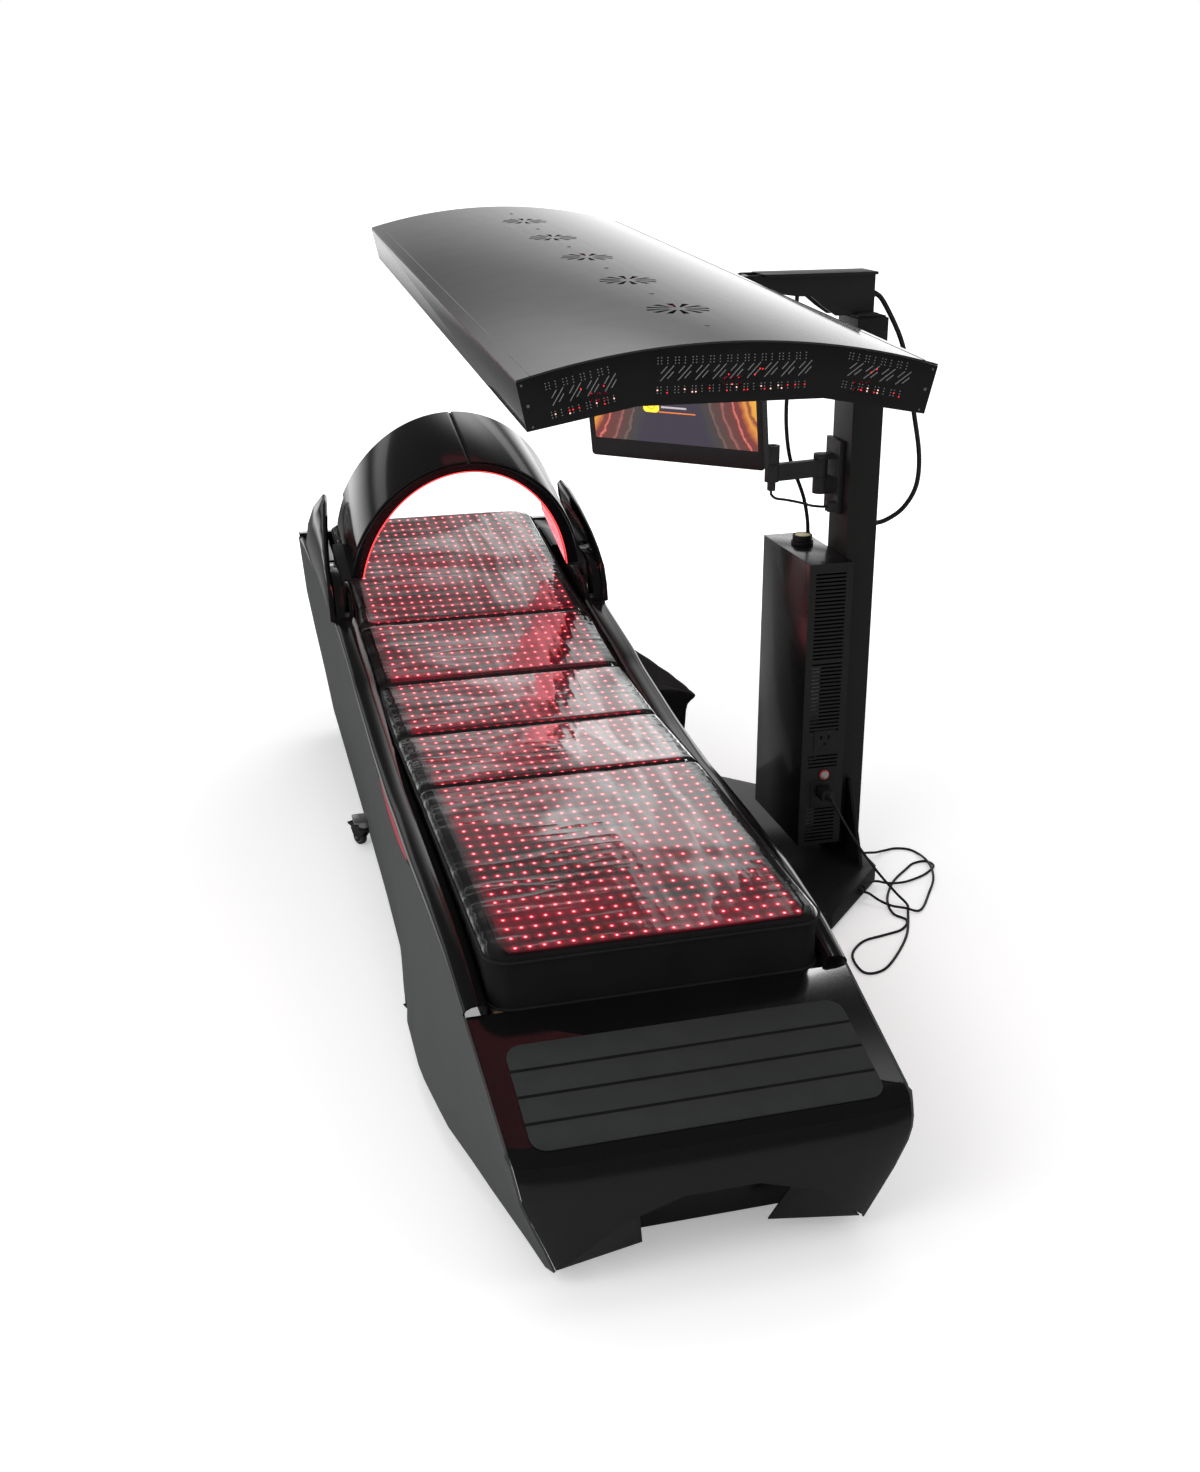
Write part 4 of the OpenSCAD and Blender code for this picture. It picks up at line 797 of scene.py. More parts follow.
@dataclass
class Finishes:
    """Every finish of the bed, made on first use."""

    gloss: Finish = Finish("gloss black shell", (0.0035, 0.0035, 0.0038), (0.006, 0.006, 0.0065), 0.13,
                           coat=0.35, spread=0.04, scale=140)
    nose: Finish = Finish("nose lacquer", (0.0045, 0.0045, 0.0043), (0.007, 0.007, 0.0068), 0.30, coat=0.15,
                          scale=140)
    cover: Finish = Finish("hood cover gloss", (0.004, 0.004, 0.0043), (0.008, 0.008, 0.0085), 0.16, coat=0.6,
                           scale=120)
    panel: Finish = Finish("side panel grey", (0.050, 0.053, 0.053), (0.062, 0.066, 0.066), 0.46, scale=160,
                           bump=0.05)
    tread: Finish = Finish("tread rubber", (0.024, 0.026, 0.026), (0.033, 0.036, 0.036), 0.82, scale=420,
                           bump=0.35)
    # Painted shade: the deck mat's grooves get this darker rubber in place of the shade that falls in them.
    groove_shade: Finish = Finish("painted recess shade", (0.005, 0.005, 0.005), (0.008, 0.008, 0.008), 0.9, scale=420,
                            bump=0.3)
    steel: Finish = Finish("frame paint", (0.012, 0.012, 0.013), (0.02, 0.02, 0.021), 0.42, scale=240,
                           bump=0.06)
    wood: Finish = Finish("board birch", (0.52, 0.38, 0.23), (0.66, 0.5, 0.32), 0.6, scale=60, bump=0.1)
    cloth: Finish = Finish("black cloth", (0.004, 0.004, 0.0043), (0.010, 0.010, 0.011), 0.9, scale=700,
                           bump=0.6, depth=0.0006, weave=Weave.CLOTH)
    piping: Finish = Finish("piping cloth", (0.007, 0.007, 0.0075), (0.016, 0.016, 0.017), 0.7, scale=900,
                            bump=0.5, weave=Weave.CLOTH)
    stand: Finish = Finish("stand black", (0.006, 0.006, 0.006), (0.011, 0.011, 0.011), 0.42, scale=220,
                           bump=0.08)
    arm: Finish = Finish("arm grey", (0.016, 0.017, 0.017), (0.024, 0.025, 0.025), 0.5, scale=320, bump=0.15)
    rubber: Finish = Finish("foot rubber", (0.01, 0.01, 0.01), (0.018, 0.018, 0.018), 0.8, scale=260,
                            bump=0.2)
    column: Finish = Finish("column paint", (0.006, 0.006, 0.0055), (0.010, 0.010, 0.0095), 0.45, spread=0.1,
                            scale=420, bump=0.12)
    bright: Finish = Finish("bright steel", (0.62, 0.62, 0.63), (0.74, 0.74, 0.75), 0.24, metal=1.0,
                            spread=0.1, scale=500, bump=0.05, weave=Weave.BRUSHED)
    steel_grey: Finish = Finish("dark screw steel", (0.16, 0.16, 0.165), (0.22, 0.22, 0.225), 0.35, metal=0.6,
                                scale=500)
    vent: Finish = Finish("vent grey", (0.16, 0.16, 0.165), (0.22, 0.22, 0.225), 0.5, scale=300)
    end: Finish = Finish("canopy end black", (0.002, 0.002, 0.002), (0.0035, 0.0035, 0.0035), 0.5, scale=300)
    canopy: Finish = Finish("canopy black", (0.010, 0.010, 0.0105), (0.016, 0.016, 0.017), 0.34, coat=0.9,
                            scale=260, bump=0.04)
    case: Finish = Finish("cabinet black", (0.004, 0.004, 0.004), (0.008, 0.008, 0.008), 0.24, coat=0.3,
                          scale=260, bump=0.04)
    louvre: Finish = Finish("cabinet front", (0.009, 0.009, 0.0085), (0.014, 0.014, 0.0135), 0.5, scale=320,
                            bump=0.1)
    matt: Finish = Finish("matt black plastic", (0.008, 0.008, 0.0085), (0.014, 0.014, 0.015), 0.5, scale=520,
                          bump=0.2)
    tyre: Finish = Finish("wheel tyre", (0.02, 0.02, 0.021), (0.035, 0.035, 0.036), 0.62, scale=300, bump=0.2)
    supply: Finish = Finish("supply case", (0.55, 0.56, 0.57), (0.65, 0.66, 0.67), 0.38, metal=0.9, scale=420,
                            weave=Weave.BRUSHED)
    cable: Finish = Finish("cable rubber", (0.008, 0.008, 0.0085), (0.014, 0.014, 0.015), 0.4, scale=600,
                           bump=0.1)
    handset_face: Finish = Finish("handset face", (0.62, 0.60, 0.30), (0.72, 0.68, 0.40), 0.4, scale=200)
    red_ring: Finish = Finish("red ring", (0.62, 0.04, 0.03), (0.75, 0.10, 0.07), 0.35, scale=200)

# ---------------------------------------------------------------- camera and studio


@dataclass(frozen=True)
class Viewpoint:
    """The camera that the bed is seen from, with its lens and its sensor in mm."""

    place: Point = (-0.727, -3.419, 1.726)
    pitch: float = 21.08
    yaw: float = 15.11
    roll: float = -0.21
    lens: float = 39.61
    sensor: float = 36.0
    horizon: float = 60.0

    def build(self) -> Object:
        """Makes the camera and sets it as the scene's own.

        Returns:
            The camera.
        """
        pitch, yaw, roll = (math.radians(a) for a in (self.pitch, self.yaw, self.roll))
        forward = Vector((math.sin(yaw) * math.cos(pitch), math.cos(yaw) * math.cos(pitch), -math.sin(pitch)))
        side = Vector((math.cos(yaw), -math.sin(yaw), 0))
        up = side.cross(forward)
        right = math.cos(roll) * side + math.sin(roll) * up
        top = -math.sin(roll) * side + math.cos(roll) * up
        camera = linked("camera", bpy.data.cameras.new("camera"))
        camera.matrix_world = Matrix((
            (right.x, top.x, -forward.x, self.place[0]),
            (right.y, top.y, -forward.y, self.place[1]),
            (right.z, top.z, -forward.z, self.place[2]),
            (0, 0, 0, 1)))
        camera.data.sensor_fit = "AUTO"
        camera.data.sensor_width = self.sensor
        camera.data.lens = self.lens
        camera.data.clip_end = self.horizon
        bpy.context.scene.camera = camera
        return camera


@dataclass(frozen=True)
class Lamp:
    """One soft rectangular lamp: where it hangs, what it faces, its size and its power."""

    name: str
    place: Point
    aim: Point
    width: float
    height: float
    power: float
    mirrored: bool = False

    def build(self) -> Object:
        """Makes the lamp, which only shows in gloss if it is mirrored.

        Returns:
            The lamp.
        """
        data = bpy.data.lights.new(self.name, "AREA")
        data.shape = "RECTANGLE"
        data.size, data.size_y, data.energy = self.width, self.height, self.power
        lamp = linked(self.name, data)
        lamp.location = self.place
        lamp.rotation_euler = (Vector(self.aim) - Vector(self.place)).to_track_quat("-Z", "Y").to_euler()
        lamp.visible_camera = False
        lamp.visible_glossy = self.mirrored
        lamp.visible_transmission = False
        return lamp


@dataclass
class Studio:
    """Pale floor, white backdrop and soft lamps."""

    floor_size: float = 60.0
    floor_drop: float = 0.0005
    bright_side: Point = (0.25, 0.84, 0.48)
    sky: float = 0.45
    mirrored_sky: float = 0.05
    lamps: tuple[Lamp, ...] = (
        Lamp("key lamp", (-3.0, -2.8, 3.4), (0.0, 0.0, 0.4), 2.6, 2.6, 62.0),
        Lamp("fill lamp", (3.6, -3.4, 2.6), (0.3, -0.3, 0.5), 2.4, 2.4, 26.0),
        Lamp("top lamp", (0.0, 0.4, 4.2), (0.0, 0.2, 0.4), 2.8, 3.4, 42.0),
        Lamp("back lamp", (2.1, 3.7, 2.15), (0.2, 0.0, 0.9), 3.0, 1.1, 38.0),
        Lamp("side lamp", (-3.4, -1.4, 0.6), (-0.4, -0.4, 0.35), 2.4, 0.9, 42.0),
        Lamp("deck lamp", (1.56, 0.39, 3.2), (0.3, -1.15, 0.33), 0.5, 0.16, 4.0, True),
    )

    def build(self) -> None:
        """Makes the floor, the lamps and the world."""
        bpy.context.scene.view_settings.view_transform = "Standard"
        clear_selection()
        bpy.ops.mesh.primitive_plane_add(size=self.floor_size, location=(0, 0, -self.floor_drop))
        floor = named("floor")
        floor.data.materials.append(self.floor_material())
        for lamp in self.lamps:
            lamp.build()
        self.world()

    def floor_material(self) -> Material:
        """A pale floor that fades into the white backdrop, keeps the shadow and mirrors darker.

        Returns:
            The material.
        """
        material, tree, shader = plain_material("pale floor")
        calc, place = partial(math_node, tree), object_place(tree)
        seen, gloss = rays(tree)
        x, y, _ = axes(tree, place)
        away = calc("LENGTH", place, kind="VectorMath")
        fade = calc("MULTIPLY", ramp(tree, away, 1.6, 2.4), 0.68)
        lift = calc("MULTIPLY", seen, calc("ADD", 0.32, fade))
        corner = calc("MULTIPLY", ramp(tree, x, 0.5, 0.5), ramp(tree, y, 1.0, 0.5))
        pale = calc("MAXIMUM", ramp(tree, away, 8.0, 8.0), corner)
        mirror = calc("MULTIPLY", gloss, calc("MULTIPLY", pale, 0.8))
        fill(shader, Base_Color=mix_colours(tree, gloss, (0.92, 0.92, 0.92), (0.30, 0.30, 0.30)),
             Roughness=0.9, Specular_IOR_Level=0.1, Emission_Color=WHITE,
             Emission_Strength=calc("ADD", lift, mirror))
        return material

    def world(self) -> None:
        """White for the camera and through glass; gloss mirrors two bands and a soft patch behind the bed."""
        world = bpy.data.worlds.new("studio")
        bpy.context.scene.world = world
        world.use_nodes = True
        tree = world.node_tree
        calc, place = partial(math_node, tree), add(tree, "TexCoord").outputs["Generated"]
        seen, gloss = rays(tree)
        _, y, z = axes(tree, place)
        low = calc("MULTIPLY", ramp(tree, z, 0.22, -0.2), 1.5)
        high = calc("MULTIPLY", ramp(tree, z, 0.25, 0.06), ramp(tree, z, 0.415, -0.012))
        high = calc("MULTIPLY", high, 0.5)
        bands = calc("MULTIPLY", ramp(tree, y, 0.2, 0.5), calc("ADD", high, low))
        toward = calc("DOT_PRODUCT", place, Vector(self.bright_side).normalized(), kind="VectorMath")
        patch = calc("MULTIPLY", calc("POWER", calc("MAXIMUM", toward, 0.0), 60.0), 1.2)
        mirrored = calc("MULTIPLY", gloss, calc("ADD", calc("ADD", self.mirrored_sky, patch), bands))
        other = calc("MULTIPLY", calc("SUBTRACT", 1.0, calc("MAXIMUM", seen, gloss)), self.sky)
        strength = calc("ADD", calc("MAXIMUM", seen, mirrored), other)
        fill(tree.nodes["Background"], Color=WHITE, Strength=strength)


# ---------------------------------------------------------------- cords


def rounded_route(route_mm: Sequence[Point], steps: int = 6) -> list[Vector]:
    """A smooth line through a route's points.

    Args:
        route_mm: The route's points.
        steps: Steps from each point to the next.

    Returns:
        The points of the line, in metres.
    """
    points = [Vector(p) * MM for p in route_mm]
    line = []
    for i in range(len(points) - 1):
        a, b = points[max(i - 1, 0)], points[i]
        c, d = points[i + 1], points[min(i + 2, len(points) - 1)]
        for k in range(steps):
            t = k / steps
            line.append(0.5 * (2 * b + (c - a) * t + (2 * a - 5 * b + 4 * c - d) * t * t
                               + (3 * b - a - 3 * c + d) * t * t * t))
    return line + [points[-1]]


def round_line(name: str, line: Sequence[Vector], radius: float, closed: bool = False,
               sides: int = 5) -> Object:
    """A round cord drawn along a line, as a curve.

    Args:
        name: The new object's name.
        line: The points that it runs through.
        radius: Radius of its section.
        closed: Whether its end meets its start.
        sides: How finely its section is rounded.

    Returns:
        The new object.
    """
    curve = bpy.data.curves.new(name, "CURVE")
    curve.dimensions = "3D"
    curve.bevel_depth = radius
    curve.bevel_resolution = sides
    curve.use_fill_caps = True
    spline = curve.splines.new("POLY")
    spline.points.add(len(line) - 1)
    for point, place in zip(spline.points, line):
        point.co = (*place, 1)
    spline.use_cyclic_u = closed
    spline.use_smooth = True
    return linked(name, curve)


def as_mesh(obj: Object) -> Object:
    """Turns a curve into a mesh and shades it smooth.

    Args:
        obj: The curve's object.

    Returns:
        The mesh's object.
    """
    pick(obj)
    bpy.ops.object.convert(target="MESH")
    return smooth(bpy.context.object, 50)


@dataclass(frozen=True)
class Cord:
    """One lead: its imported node, its route and the body that its first end follows."""

    node: str
    radius: float
    route_mm: tuple[Point, ...]
    lay: str = "loose"
    stiffness: str = "medium"
    moves_to: str = ""

    def build(self, material: Material) -> Object:
        """Args:
            material: The cord's material.

        Returns:
            The new cord.
        """
        line = rounded_route(self.route_mm)
        obj = round_line(f"{self.node}_lead", line, self.radius)
        if self.moves_to:
            obj = as_mesh(obj)
        obj.data.materials.append(material)
        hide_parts(self.node)
        if self.moves_to:
            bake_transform(obj)
        else:
            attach(obj, "root")
        return obj


@dataclass
class Cords:
    """The mains lead, the foot lead and the cables of the head and the screen."""

    finishes: Finishes
    cords: tuple[Cord, ...] = (
        Cord("power_cord", 0.003, (
            (690, -232, 234), (690, -247, 228), (706, -262, 196), (736, -278, 142), (782, -298, 74),
            (822, -326, 24), (838, -352, 6), (826, -384, 3), (772, -490, 3), (687, -594, 3),
            (640, -624, 3), (612, -610, 3), (620, -540, 3), (668, -488, 3), (728, -472, 3),
            (776, -458, 3), (806, -420, 3), (790, -380, 3), (808, -310, 3), (859, -231, 3),
            (920, -174, 3), (950, -150, 3), (984, -146, 3), (992, -176, 3), (952, -212, 3),
            (900, -238, 5), (864, -250, 9), (832, -254, 15), (806, -254, 23), (784, -265, 29),
            (768, -280, 30), (758, -290, 30))),
        Cord("link_cord", 0.003, (
            (746, -310, 30), (756, -320, 29), (774, -338, 18), (796, -358, 11), (822, -378, 11),
            (848, -388, 5), (874, -366, 3), (914, -310, 3), (951, -257, 9), (974, -200, 11),
            (984, -145, 9), (985, -95, 3), (972, -70, 3), (944, -58, 3), (912, -66, 5), (880, -84, 12),
            (850, -98, 21), (828, -105, 25), (816.4, -105, 25))),
        Cord("canopy_cable", 0.0055, (
            (788.4, -66, 1356), (795, -66, 1356), (803, -66, 1355.2), (824, -66, 1336), (868, -68, 1258),
            (892, -68, 1180), (912, -68, 1093), (932, -68, 996), (930, -68, 925), (902, -68, 876),
            (862, -68, 850), (830, -68, 843), (813.4, -68, 843)), lay="hanging", moves_to="lift"),
        Cord("lift_cable", 0.0045, (
            (630, -43, 1356), (630, -41, 1330), (630, -24, 1240), (630, -6, 1134), (636, 5, 1059),
            (650, 14, 992), (672, 26, 945), (698, 38, 890), (714, 50, 840), (720, 56, 806),
            (720, 56, 784.4)), lay="hanging", moves_to="lift"),
        Cord("monitor_cable", 0.003, (
            (574.1, -73.1, 935.7), (574.1, -73.1, 930.7), (575.3, -73.7, 925.7), (584, -79, 918.7),
            (606, -88, 915.7), (634, -96, 910), (662, -94, 901), (682, -86, 896), (694.2, -79.5, 893),
            (700.2, -78.3, 892.3), (706.2, -78, 892)),
            lay="hanging", stiffness="limp", moves_to="arm_link_body"),
    )

    def build(self) -> None:
        """Makes every cord and the tapered pieces that they leave through."""
        material = self.finishes.cable.build()
        for cord in self.cords:
            cord.build(material)
        glands = (
            ("column_gland", "root", (813.2, -68, 843), (834, -68, 843.6), 9.0, 6.4),
            ("bracket_gland", "lift", (788.2, -66, 1356), (803, -66, 1353.6), 9.0, 6.4),
            ("lift_gland", "root", (720, 56, 784.1), (720, 56, 802), 8.0, 5.4),
            ("foot_gland", "root", (813.2, -105, 25), (828, -105, 25), 7.0, 3.7),
        )
        for name, body, start, end, wide, narrow in glands:
            piece = rod(name, Vector(start) * MM, Vector(end) * MM, wide * MM, narrow * MM, 24, 0.0008)
            mount(piece, body, material)


# ---------------------------------------------------------------- mattress


@dataclass
class Mattress:
    """The LED mattress: cloth core with piping, LED mat and clear vinyl cover. Sizes in mm."""

    finishes: Finishes
    start: float = 332.0
    end: float = 2590.0
    seams: tuple[float, ...] = (1027.0, 1320.0, 1618.0, 1935.0)
    width: float = 596.0
    thick: float = 112.0
    corner: float = 46.0
    head_inset: float = 10.0
    seam_depth: float = 7.0
    seam_width: float = 9.0
    roll: tuple[Pair, ...] = ((2, 13), (5, 9), (10, 3.5), (26, 0.6), (60, 0))
    line: tuple[Pair, ...] = ((0, 427), (332, 437), (1027, 457), (1320, 459), (1618, 477),
                              (1935, 528), (2590, 645), (2690, 663))

    def top(self, y: np.ndarray | float) -> np.ndarray | float:
        """Height of the mattress top at a station."""
        return np.interp(y, *zip(*self.line))

    def dip(self, y: np.ndarray | float) -> np.ndarray | float:
        """Depth of the sewn channels at a station."""
        away = [((np.asarray(y) - s) / self.seam_width) ** 2 for s in self.seams]
        return self.seam_depth * np.max(np.exp(-np.array(away)), axis=0)

    def rolled(self, edge: np.ndarray) -> np.ndarray:
        """How far the top has dropped, an edge distance in from the mattress's side."""
        return np.interp(edge, *zip(*self.roll))

    def half(self, y: np.ndarray | float) -> np.ndarray | float:
        """Half width at a station, with the ends rounded in plan.

        Args:
            y: The station.

        Returns:
            The half width there.
        """
        y = np.asarray(y, float)
        inset = np.maximum(self.corner - np.minimum(y - self.start, self.end - y), 0)
        head = np.clip((y - self.seams[3]) / 130, 0, 1) * self.head_inset
        return self.width / 2 - head - self.corner + np.sqrt(np.maximum(self.corner**2 - inset**2, 0))

    def placed(self, points: np.ndarray) -> np.ndarray:
        """Points in mm from the nose, as metres in the model's frame."""
        return (points - [0, BASE_Y_MM, 0]) * MM

    def build(self) -> None:
        """Makes the core, its piping, the seam bands, the LED mat and the cover."""
        self.core()
        self.piping()
        self.welts()
        self.led_mat()
        self.cover()

    def core(self) -> None:
        """The padded cloth body, gathered a little along its walls."""
        steps = np.array([1, 2, 4, 7, 11, 16, 22, 30, 38, self.corner])
        ys = np.unique(np.concatenate([
            self.start + steps, np.arange(388, 2540, 9.0), self.end - steps,
            [s + d for s in self.seams for d in (-14, -9, -5, -2, 0, 2, 5, 9, 14)]]))
        rows = []
        for y in ys:
            w, dip = float(self.half(y)), float(self.dip(y))
            t, b = float(self.top(y) - 5 - dip), float(self.top(y)) - self.thick
            tuck = 4 + 0.8 * dip
            gather = 1.1 * math.sin(y / 7.0 + 2 * math.sin(y / 61.0)) + 0.7 * math.sin(y / 3.1)
            side = [(w - 26, b), (w - 10, b + 1.5), (w - 3, b + 9), (w - tuck + gather * 0.3, b + 24),
                    (w - tuck - 1 + gather, (t + b) / 2 - 8), (w - tuck - 1 + gather, (t + b) / 2 + 12),
                    (w - tuck + 2 + gather * 0.6, t - 26), (w - 2, t - 18), (w, t - 11), (w - 3, t - 5),
                    (w - 10, t - 2), (w - 26, t - 0.6), (w - 60, t), (w - 140, t), (w - 220, t)]
            rows.append([(x, y, z) for x, z in side] + [(-x, y, z) for x, z in reversed(side)])
        grid = self.placed(np.array(rows))
        m, n = grid.shape[:2]
        faces = [(s * n + k, s * n + (k + 1) % n, (s + 1) * n + (k + 1) % n, (s + 1) * n + k)
                 for s in range(m - 1) for k in range(n)]
        faces += [tuple(range(n))[::-1], tuple((m - 1) * n + k for k in range(n))]
        obj = outward(mesh_object("mattress_body", grid.reshape(-1, 3).tolist(), faces))
        modify(obj, "SUBSURF", levels=1, render_levels=1)
        smooth(obj, 60)
        mount(obj, "root", self.finishes.cloth.build(), ["mattress_core"])

    def rim(self, drop: float, out: float) -> list[Vector]:
        """A closed line round the mattress, drop below its top and out from its side.

        Args:
            drop: How far below the top it runs.
            out: How far out from the side it runs.

        Returns:
            Its points, in metres.
        """
        bend = np.linspace(0.02, math.pi / 2, 14)
        ys = np.concatenate([self.start + self.corner * (1 - np.cos(bend)), np.arange(400, 2530, 22.0),
                             self.end - self.corner * (1 - np.cos(bend[::-1]))])
        right = [(float(self.half(y)) + out, y, float(self.top(y)) - drop - 0.9 * float(self.dip(y)))
                 for y in ys]
        loop = right + [(-x, y, z) for x, y, z in reversed(right)]
        return [Vector(p) for p in self.placed(np.array(loop))]

    def piping(self) -> None:
        """Corded seams round the top and the bottom edge."""
        for name, drop, out in (("piping_top", 14.0, 0.8), ("piping_low", 102.0, -1.5)):
            piece = as_mesh(round_line(name, self.rim(drop, out), 2.6 * MM, closed=True, sides=3))
            mount(piece, "root", self.finishes.piping.build())

    def welts(self) -> None:
        """The black bands sewn across the mattress over the vinyl."""
        for i, seam in enumerate(self.seams):
            half = float(self.half(seam))
            x, y = np.meshgrid(np.linspace(3 - half, half - 3, 41), seam + np.linspace(-8.5, 8.5, 9))
            z = self.top(y) - self.dip(y) - self.rolled(half - np.abs(x)) + 1.3
            band = grid_object(f"seam_band_{i + 1}", self.placed(np.stack([x, y, z], -1)))
            modify(band, "SOLIDIFY", thickness=0.001, offset=0.0)
            smooth(band, 60)
            mount(band, "root", self.finishes.piping.build())

    def led_mat(self) -> None:
        """The LED mat, whose lamps are in its material."""
        grid = (("Pitch X", 0.025), ("Pitch Y", 0.0324), ("Start X", 0.0045),
                ("Start Y", 0.390 - BASE_Y_MM * MM), ("Core", 0.0023), ("Ring", 0.0046), ("Halo", 0.0125),
                ("Reach", 0.262))
        sheet = LampSheet("LED mat", (0.006, 0.006, 0.0065), (0.011, 0.011, 0.012), 0.5, grid, 2.4,
                          (0.045, 0.0, 0.003))
        dress("led_mat", "led_sheet", sheet)

    def cover(self) -> None:
        """The clear vinyl, creased beside each channel and gathered along its sides."""
        rng = np.random.default_rng(11)
        ys = np.unique(np.round(np.concatenate([np.arange(self.start + 12, self.end - 12, 5.0),
                                                [s + d for s in self.seams for d in (-3, 0, 3)]]), 1))
        share = np.concatenate([[-1.0, -0.995, -0.985], np.linspace(-0.965, 0.965, 121), [0.985, 0.995, 1.0]])
        half = self.half(ys)[:, None]
        x = share[None, :] * (half - 2)
        y = np.repeat(ys[:, None], len(share), 1)
        edge = half - np.abs(x)
        near = np.min([np.abs(y - s) for s in self.seams], axis=0)
        crease, gathers, swell = (np.zeros_like(x) for _ in range(3))
        for _ in range(7):
            k, phase, bend = rng.uniform(0.05, 0.15), rng.uniform(0, 6.28), rng.uniform(-0.3, 0.3)
            wave = np.sin(k * (x + bend * (y % 293.0)) + phase)
            crease += np.maximum(wave, 0) ** 3 * np.exp(-near / rng.uniform(22, 70))
        for _ in range(5):
            k, phase = rng.uniform(0.12, 0.4), rng.uniform(0, 6.28)
            wave = np.sin(k * y + phase + 0.02 * x)
            gathers += np.maximum(wave, 0) ** 2 * np.exp(-edge / rng.uniform(16, 50))
        for _ in range(8):
            kx, ky, phase = rng.normal(0, 0.03), rng.normal(0, 0.03), rng.uniform(0, 6.28)
            swell += np.sin(kx * x + ky * y + phase)
        lift = 0.16 * crease + 0.35 * gathers + 0.1 * np.maximum(swell, 0)
        raised = np.clip(lift, 0, 5.5) * np.clip(edge / 12, 0, 1) + 0.3
        z = self.top(y) - self.dip(y) - self.rolled(edge) + raised
        obj = grid_object("vinyl_sheet", self.placed(np.stack([x, y, z], -1)))
        modify(obj, "SOLIDIFY", thickness=0.0008, offset=1.0)
        smooth(obj, 60)
        mount(obj, "root", self.vinyl(), ["vinyl_cover"])

    def vinyl(self) -> Material:
        """Clear film: only its sheen is seen, on its outer face, and more of it at a flat angle. Its
        reflection is painted stronger in broad sheets towards the right side and the foot, and along crease
        ridges as painted glints.

        Returns:
            The material.
        """
        material, tree, shader = plain_material("clear vinyl")
        calc, place = partial(math_node, tree), object_place(tree)
        x, y, _ = axes(tree, place)
        side = ramp(tree, x, -0.125, 0.25)
        ridges = []
        for angle, scale, share in ((0, (2.6, 13.0, 1.0), calc("SUBTRACT", 1.0, side)),
                                    (38, (13.0, 2.2, 1.0), side)):
            cloud = noise(tree, stretched(tree, place, scale, angle), 1.3)
            away = calc("ABSOLUTE", calc("SUBTRACT", cloud, 0.5))
            ridge = calc("SUBTRACT", 1.0, calc("MULTIPLY", away, 9.0), clamp=True)
            ridges.append(calc("MULTIPLY", ridge, share))
        # creases_and_glints: crease ridges that both raise the film's relief and add painted glints to its
        # sheen.
        creases_and_glints = calc("ADD", *ridges)
        ripple = noise(tree, place, 15.0)
        height = calc("ADD", creases_and_glints, calc("MULTIPLY", ripple, 1.6))
        # Painted reflection: sheen_cloud, leaning towards the right side and the foot, marks broad sheets
        # where the film's reflection is painted stronger.
        sheen_cloud = noise(tree, stretched(tree, place, (2.0, 3.4, 1.0)), 1.5, 1.5)
        foot = calc("MULTIPLY", calc("MINIMUM", calc("ADD", y, 0.72), 0.0), 0.9)
        lean = calc("ADD", calc("MULTIPLY", x, 0.55), foot)
        sheet = ramp(tree, calc("ADD", sheen_cloud, lean), 0.47, 1 / 11)
        # painted_sheen: how much reflection shows, raised in the painted sheets and along crease ridges as
        # painted glints.
        painted_sheen = calc("ADD", calc("ADD", 0.35, calc("MULTIPLY", sheet, 1.6)), calc("MULTIPLY", creases_and_glints, 1.3))
        outer = calc("SUBTRACT", 1.0, add(tree, "NewGeometry").outputs["Backfacing"])
        sheen = calc("MULTIPLY", add(tree, "Fresnel", IOR=1.5).outputs["Fac"], outer)
        fill(shader, Base_Color=(0.93, 0.95, 0.95), Metallic=1.0, Alpha=calc("MULTIPLY", sheen, painted_sheen),
             Roughness=calc("ADD", 0.05, calc("MULTIPLY", ripple, 0.08)),
             Normal=relief(tree, height, 0.5, 0.0012))
        return material


# ---------------------------------------------------------------- shell, foot end and chassis


